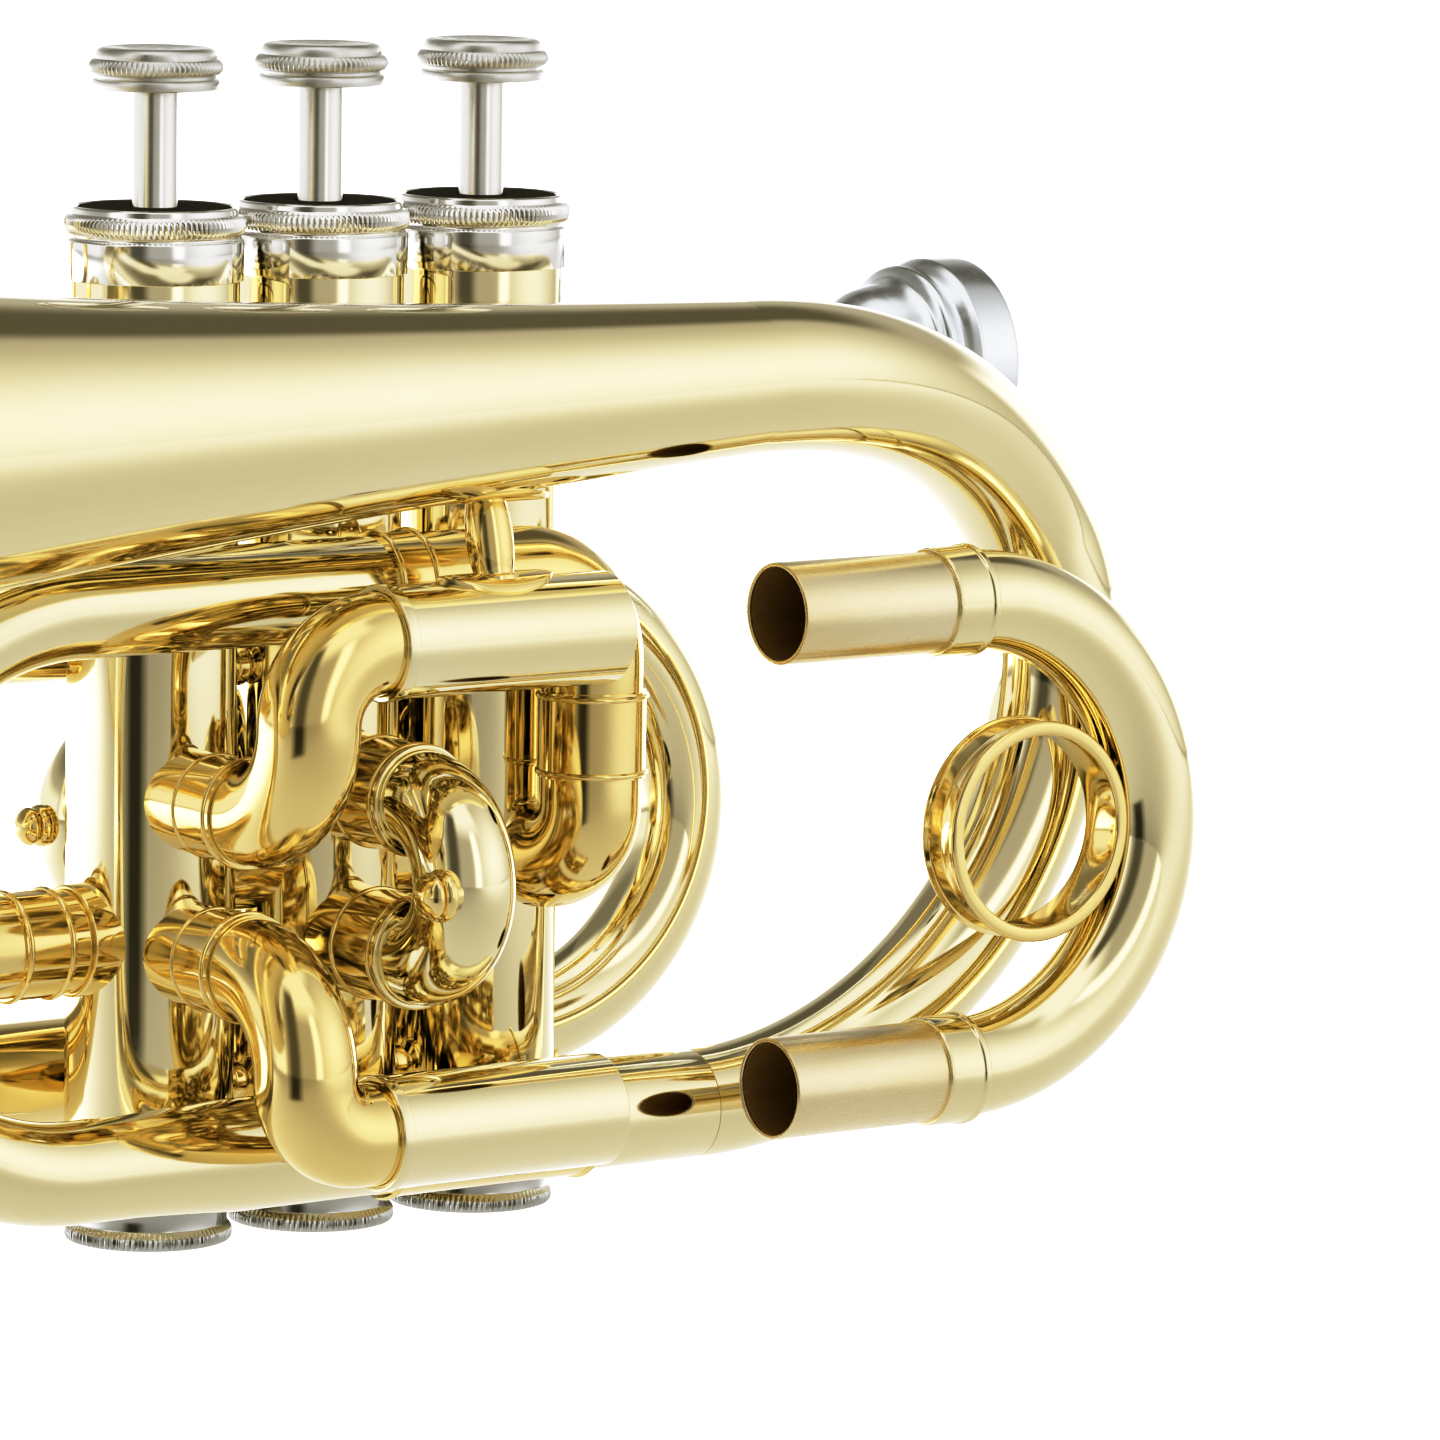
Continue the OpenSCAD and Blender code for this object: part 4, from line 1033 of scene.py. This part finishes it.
def make_mouthpiece():
    """One turned form: shank, cup with its ridge, rim, and the cup and throat inside."""
    rim = (high("mouthpiece").x - low("mouthpiece").x) / MM
    shank = [(0, 3.75), (0, 4.37), (21, 4.97)]
    body = curved([(21, 4.97), (24, 5.22), (26.5, 5.15), (31, 4.6), (38, 4.5), (42, 5.0), (46, 6.8),
                   (50, 9.2), (rim - 15.6, 10.0), (rim - 13.2, 10.5), (rim - 12, 11.0)], 6)
    ridge = curved([(rim - 12, 11.0), (rim - 11.3, 12.2), (rim - 10.4, 12.6), (rim - 9.6, 12.2),
                    (rim - 9.2, 11.9)], 4)
    band = curved([(rim - 9.2, 11.9), (rim - 8.6, 12.1), (rim - 7.6, 12.9), (rim - 6.8, 13.35)], 4)
    lip = curved([(rim - 6.8, 13.35), (rim - 6.0, 13.4), (rim - 2, 13.4), (rim - 0.9, 13.1),
                  (rim - 0.25, 12.3), (rim, 11.2), (rim - 0.15, 9.9), (rim - 0.8, 8.9),
                  (rim - 2, 8.4), (rim - 4.5, 8.1), (rim - 8, 6.9), (rim - 11.5, 4.2),
                  (rim - 14, 2.3), (rim - 15.5, 1.85)], 5)
    throat = [(rim - 18, 1.85), (rim - 40, 2.6)]
    outline = shank + body[1:] + ridge[1:] + band[1:] + lip[1:] + throat
    route = Route((low("mouthpiece").x, right_y, leadpipe_z), X).go(rim * MM)
    Shape().skin(route, in_mm(outline), 128).place(
        "mouthpiece_turned", FROSTED, "mouthpiece", body="mouthpiece")


def plate_inner_works():
    """Nickel on the CAD nodes that are carried over as they are."""
    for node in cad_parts.values():
        if not node.hide_render:
            node.data.materials.clear()
            node.data.materials.append(NICKEL)


# --- Stage ---


def stage_sheet(name, corners, z, tone):
    """A flat matt sheet of the stage, such as the floor, through corners in plan."""
    mesh = bpy.data.meshes.new(name)
    mesh.from_pydata([(x, y, z) for x, y in corners], [], [range(len(corners))])
    p = Paint(name + "_paint").set(Roughness=1.0, Specular_IOR_Level=0.05)
    p.drive(Base_Color=p.mixed(p.noise(6, 3), [tone] * 3, [tone * 0.96] * 3))
    mesh.materials.append(p.material)
    sheet = bpy.data.objects.new(name, mesh)
    bpy.context.scene.collection.objects.link(sheet)


# Each dark card: azimuth from and to (degrees) and how pale it is
DARK_CARDS = [(-71, -38, 0.42), (-67.5, -41.5, 0.28), (-64, -45, 0.14), (-61, -48, 0.05)]


def make_floor():
    """A pale floor, with dark cards lying out of the picture for the tubes to show as stripes."""
    z, near, far = low("bottom_caps").z - 0.22, -6.0, 9.0
    stage_sheet("floor", [(near, near), (far, near), (far, far), (near, far)], z, 0.56)
    for k, (start, end, tone) in enumerate(DARK_CARDS):
        corners = [(r * math.sin(math.radians(a)), -r * math.cos(math.radians(a)))
                   for r, a in ((0.8, start), (7, start), (7, end), (0.8, end))]
        stage_sheet(f"dark_card_{k + 1}", corners, z + 0.002 * (k + 1), tone)


# How bright the room is where no patch lies
ROOM_LEVEL = 0.44

# Each studio patch: azimuth from and to, elevation from and to, softness (degrees), brightness
STUDIO = [
    (-200, 200, 66, 120, 7, 0.90),
    (100, 200, 33, 62, 8, 0.15),
    (-200, -108, 26, 62, 8, 0.24),
    (10, 76, -14, 44, 31, 1.02),
    (-112, 22, 44, 86, 10, 0.95),
    (96, 200, -60, 14, 5, 1.3),
    (-200, -104, -60, 14, 5, 0.88),
    (-66, -43, -50, 58, 7, 0.12),
    (-8, 6, -20, 44, 4, 1.15),
    (-100, -74, -30, 50, 5, 1.02),
]

# Each lamp: its place (m), size (m) and power (W)
LAMPS = {
    "floor_wash": ((2.4, 5.6, 0.35), 10.0, 1030),
    "front_wash": ((3.4, -3.6, 0.6), 6.0, 125),
}

# The picture's contrast: the curves for green, blue and all three channels together
GRADE = {
    1: ((0.1, 0.094), (0.3, 0.292), (0.6, 0.60)),
    2: ((0.05, 0.03), (0.15, 0.115), (0.35, 0.315), (0.6, 0.595), (0.85, 0.86)),
    3: ((0.07, 0.04), (0.18, 0.135), (0.3, 0.27), (0.5, 0.57), (0.65, 0.77), (0.82, 0.915)),
}


class Room:
    """The world's node tree, which gives each direction its brightness."""

    def __init__(self, world):
        world.use_nodes = True
        self.nodes = world.node_tree.nodes
        self.links = world.node_tree.links

    def put(self, socket, value):
        """A number, or another node's output, on an input socket."""
        if isinstance(value, bpy.types.NodeSocket):
            self.links.new(value, socket)
        else:
            socket.default_value = value

    def maths(self, operation, *values):
        node = self.nodes.new("ShaderNodeMath")
        node.operation = operation
        for socket, value in zip(node.inputs, values):
            self.put(socket, value)
        return node.outputs["Value"]

    def mixed(self, share, a, b):
        node = self.nodes.new("ShaderNodeMix")
        node.data_type = "FLOAT"
        for name, value in (("Factor", share), ("A", a), ("B", b)):
            self.put(node.inputs[name], value)
        return node.outputs["Result"]

    def above(self, value, edge, soft):
        """0 below the edge and 1 above it, with a soft step."""
        node = self.nodes.new("ShaderNodeMapRange")
        node.interpolation_type = "SMOOTHSTEP"
        for name, v in (("Value", value), ("From Min", edge - soft), ("From Max", edge + soft)):
            self.put(node.inputs[name], v)
        return node.outputs["Result"]

    def between(self, value, start, end, soft):
        """1 where the value lies between start and end, with soft edges."""
        below = self.maths("SUBTRACT", 1.0, self.above(value, end, soft))
        return self.maths("MULTIPLY", self.above(value, start, soft), below)


def make_studio():
    """A pale room with brighter and darker patches for the brass to show."""
    world = bpy.data.worlds.new("studio")
    bpy.context.scene.world = world
    room = Room(world)
    split = room.nodes.new("ShaderNodeSeparateXYZ")
    room.put(split.inputs["Vector"], room.nodes.new("ShaderNodeTexCoord").outputs["Generated"])
    x, y, z = split.outputs
    degrees = 180 / math.pi
    around = room.maths("ARCTAN2", x, room.maths("MULTIPLY", y, -1.0))
    azimuth = room.maths("MULTIPLY", around, degrees)
    elevation = room.maths("MULTIPLY", room.maths("ARCSINE", z), degrees)
    light = ROOM_LEVEL
    for az0, az1, el0, el1, soft, level in STUDIO:
        share = room.maths("MULTIPLY", room.between(azimuth, az0, az1, soft),
                           room.between(elevation, el0, el1, soft))
        light = room.mixed(share, light, level)
    background = room.nodes["Background"]
    room.put(background.inputs["Strength"], light)
    background.inputs["Color"].default_value = (1.0, 0.995, 0.985, 1)


def make_lamps():
    """Soft lamps that brighten the floor and stay out of the brass."""
    for name, (place, size, power) in LAMPS.items():
        data = bpy.data.lights.new(name, "AREA")
        data.size, data.energy = size, power
        lamp = bpy.data.objects.new(name, data)
        lamp.location = place
        lamp.visible_glossy = lamp.visible_camera = False
        bpy.context.scene.collection.objects.link(lamp)


def grade_picture():
    view = bpy.context.scene.view_settings
    view.view_transform = "Standard"
    view.use_curve_mapping = True
    for channel, points in GRADE.items():
        for x, y in points:
            view.curve_mapping.curves[channel].points.new(x, y)
    view.curve_mapping.update()


# The camera: its place (m), its azimuth, elevation and roll (degrees), and its lens (mm)
CAMERA_AT = Vector((-0.59873, -0.90147, 0.14589))
CAMERA_TURN = (-36.213, 7.762, 0.899)
CAMERA_LENS = 223.08


def make_camera():
    """A long lens, a little above the cornet and in front of it on its left."""
    azimuth, elevation, roll = (math.radians(a) for a in CAMERA_TURN)
    back = Vector((math.sin(azimuth) * math.cos(elevation),
                   -math.cos(azimuth) * math.cos(elevation), math.sin(elevation)))
    right = (-back).cross(Z).normalized()
    up = right.cross(-back)
    across = right * math.cos(roll) + up * math.sin(roll)
    above = up * math.cos(roll) - right * math.sin(roll)
    data = bpy.data.cameras.new("camera")
    data.sensor_width, data.lens = 36, CAMERA_LENS
    camera = bpy.data.objects.new("camera", data)
    turn = Matrix((across, above, back)).transposed()
    camera.matrix_world = Matrix.Translation(CAMERA_AT) @ turn.to_4x4()
    bpy.context.scene.collection.objects.link(camera)
    bpy.context.scene.camera = camera


make_camera()
make_bell()
make_bow()
make_bottom_run()
make_front_crook()
make_top_branch()
make_leadpipe()
make_leadpipe_bend()
make_tuning_outer_tubes()
make_entry()
make_tuning_slide()
make_casings()
make_casing_links()
make_third_knuckles()
make_third_bends()
make_second_outers()
make_first_bends()
make_third_slide()
make_finger_ring()
make_second_slide()
make_first_slide()
make_caps()
for number in valve_x:
    make_valve(number)
make_bell_brace()
make_pipe_braces()
make_pinky_hook()
make_lyre_holder()
make_water_key()
make_mouthpiece()
plate_inner_works()
make_floor()
make_studio()
make_lamps()
grade_picture()
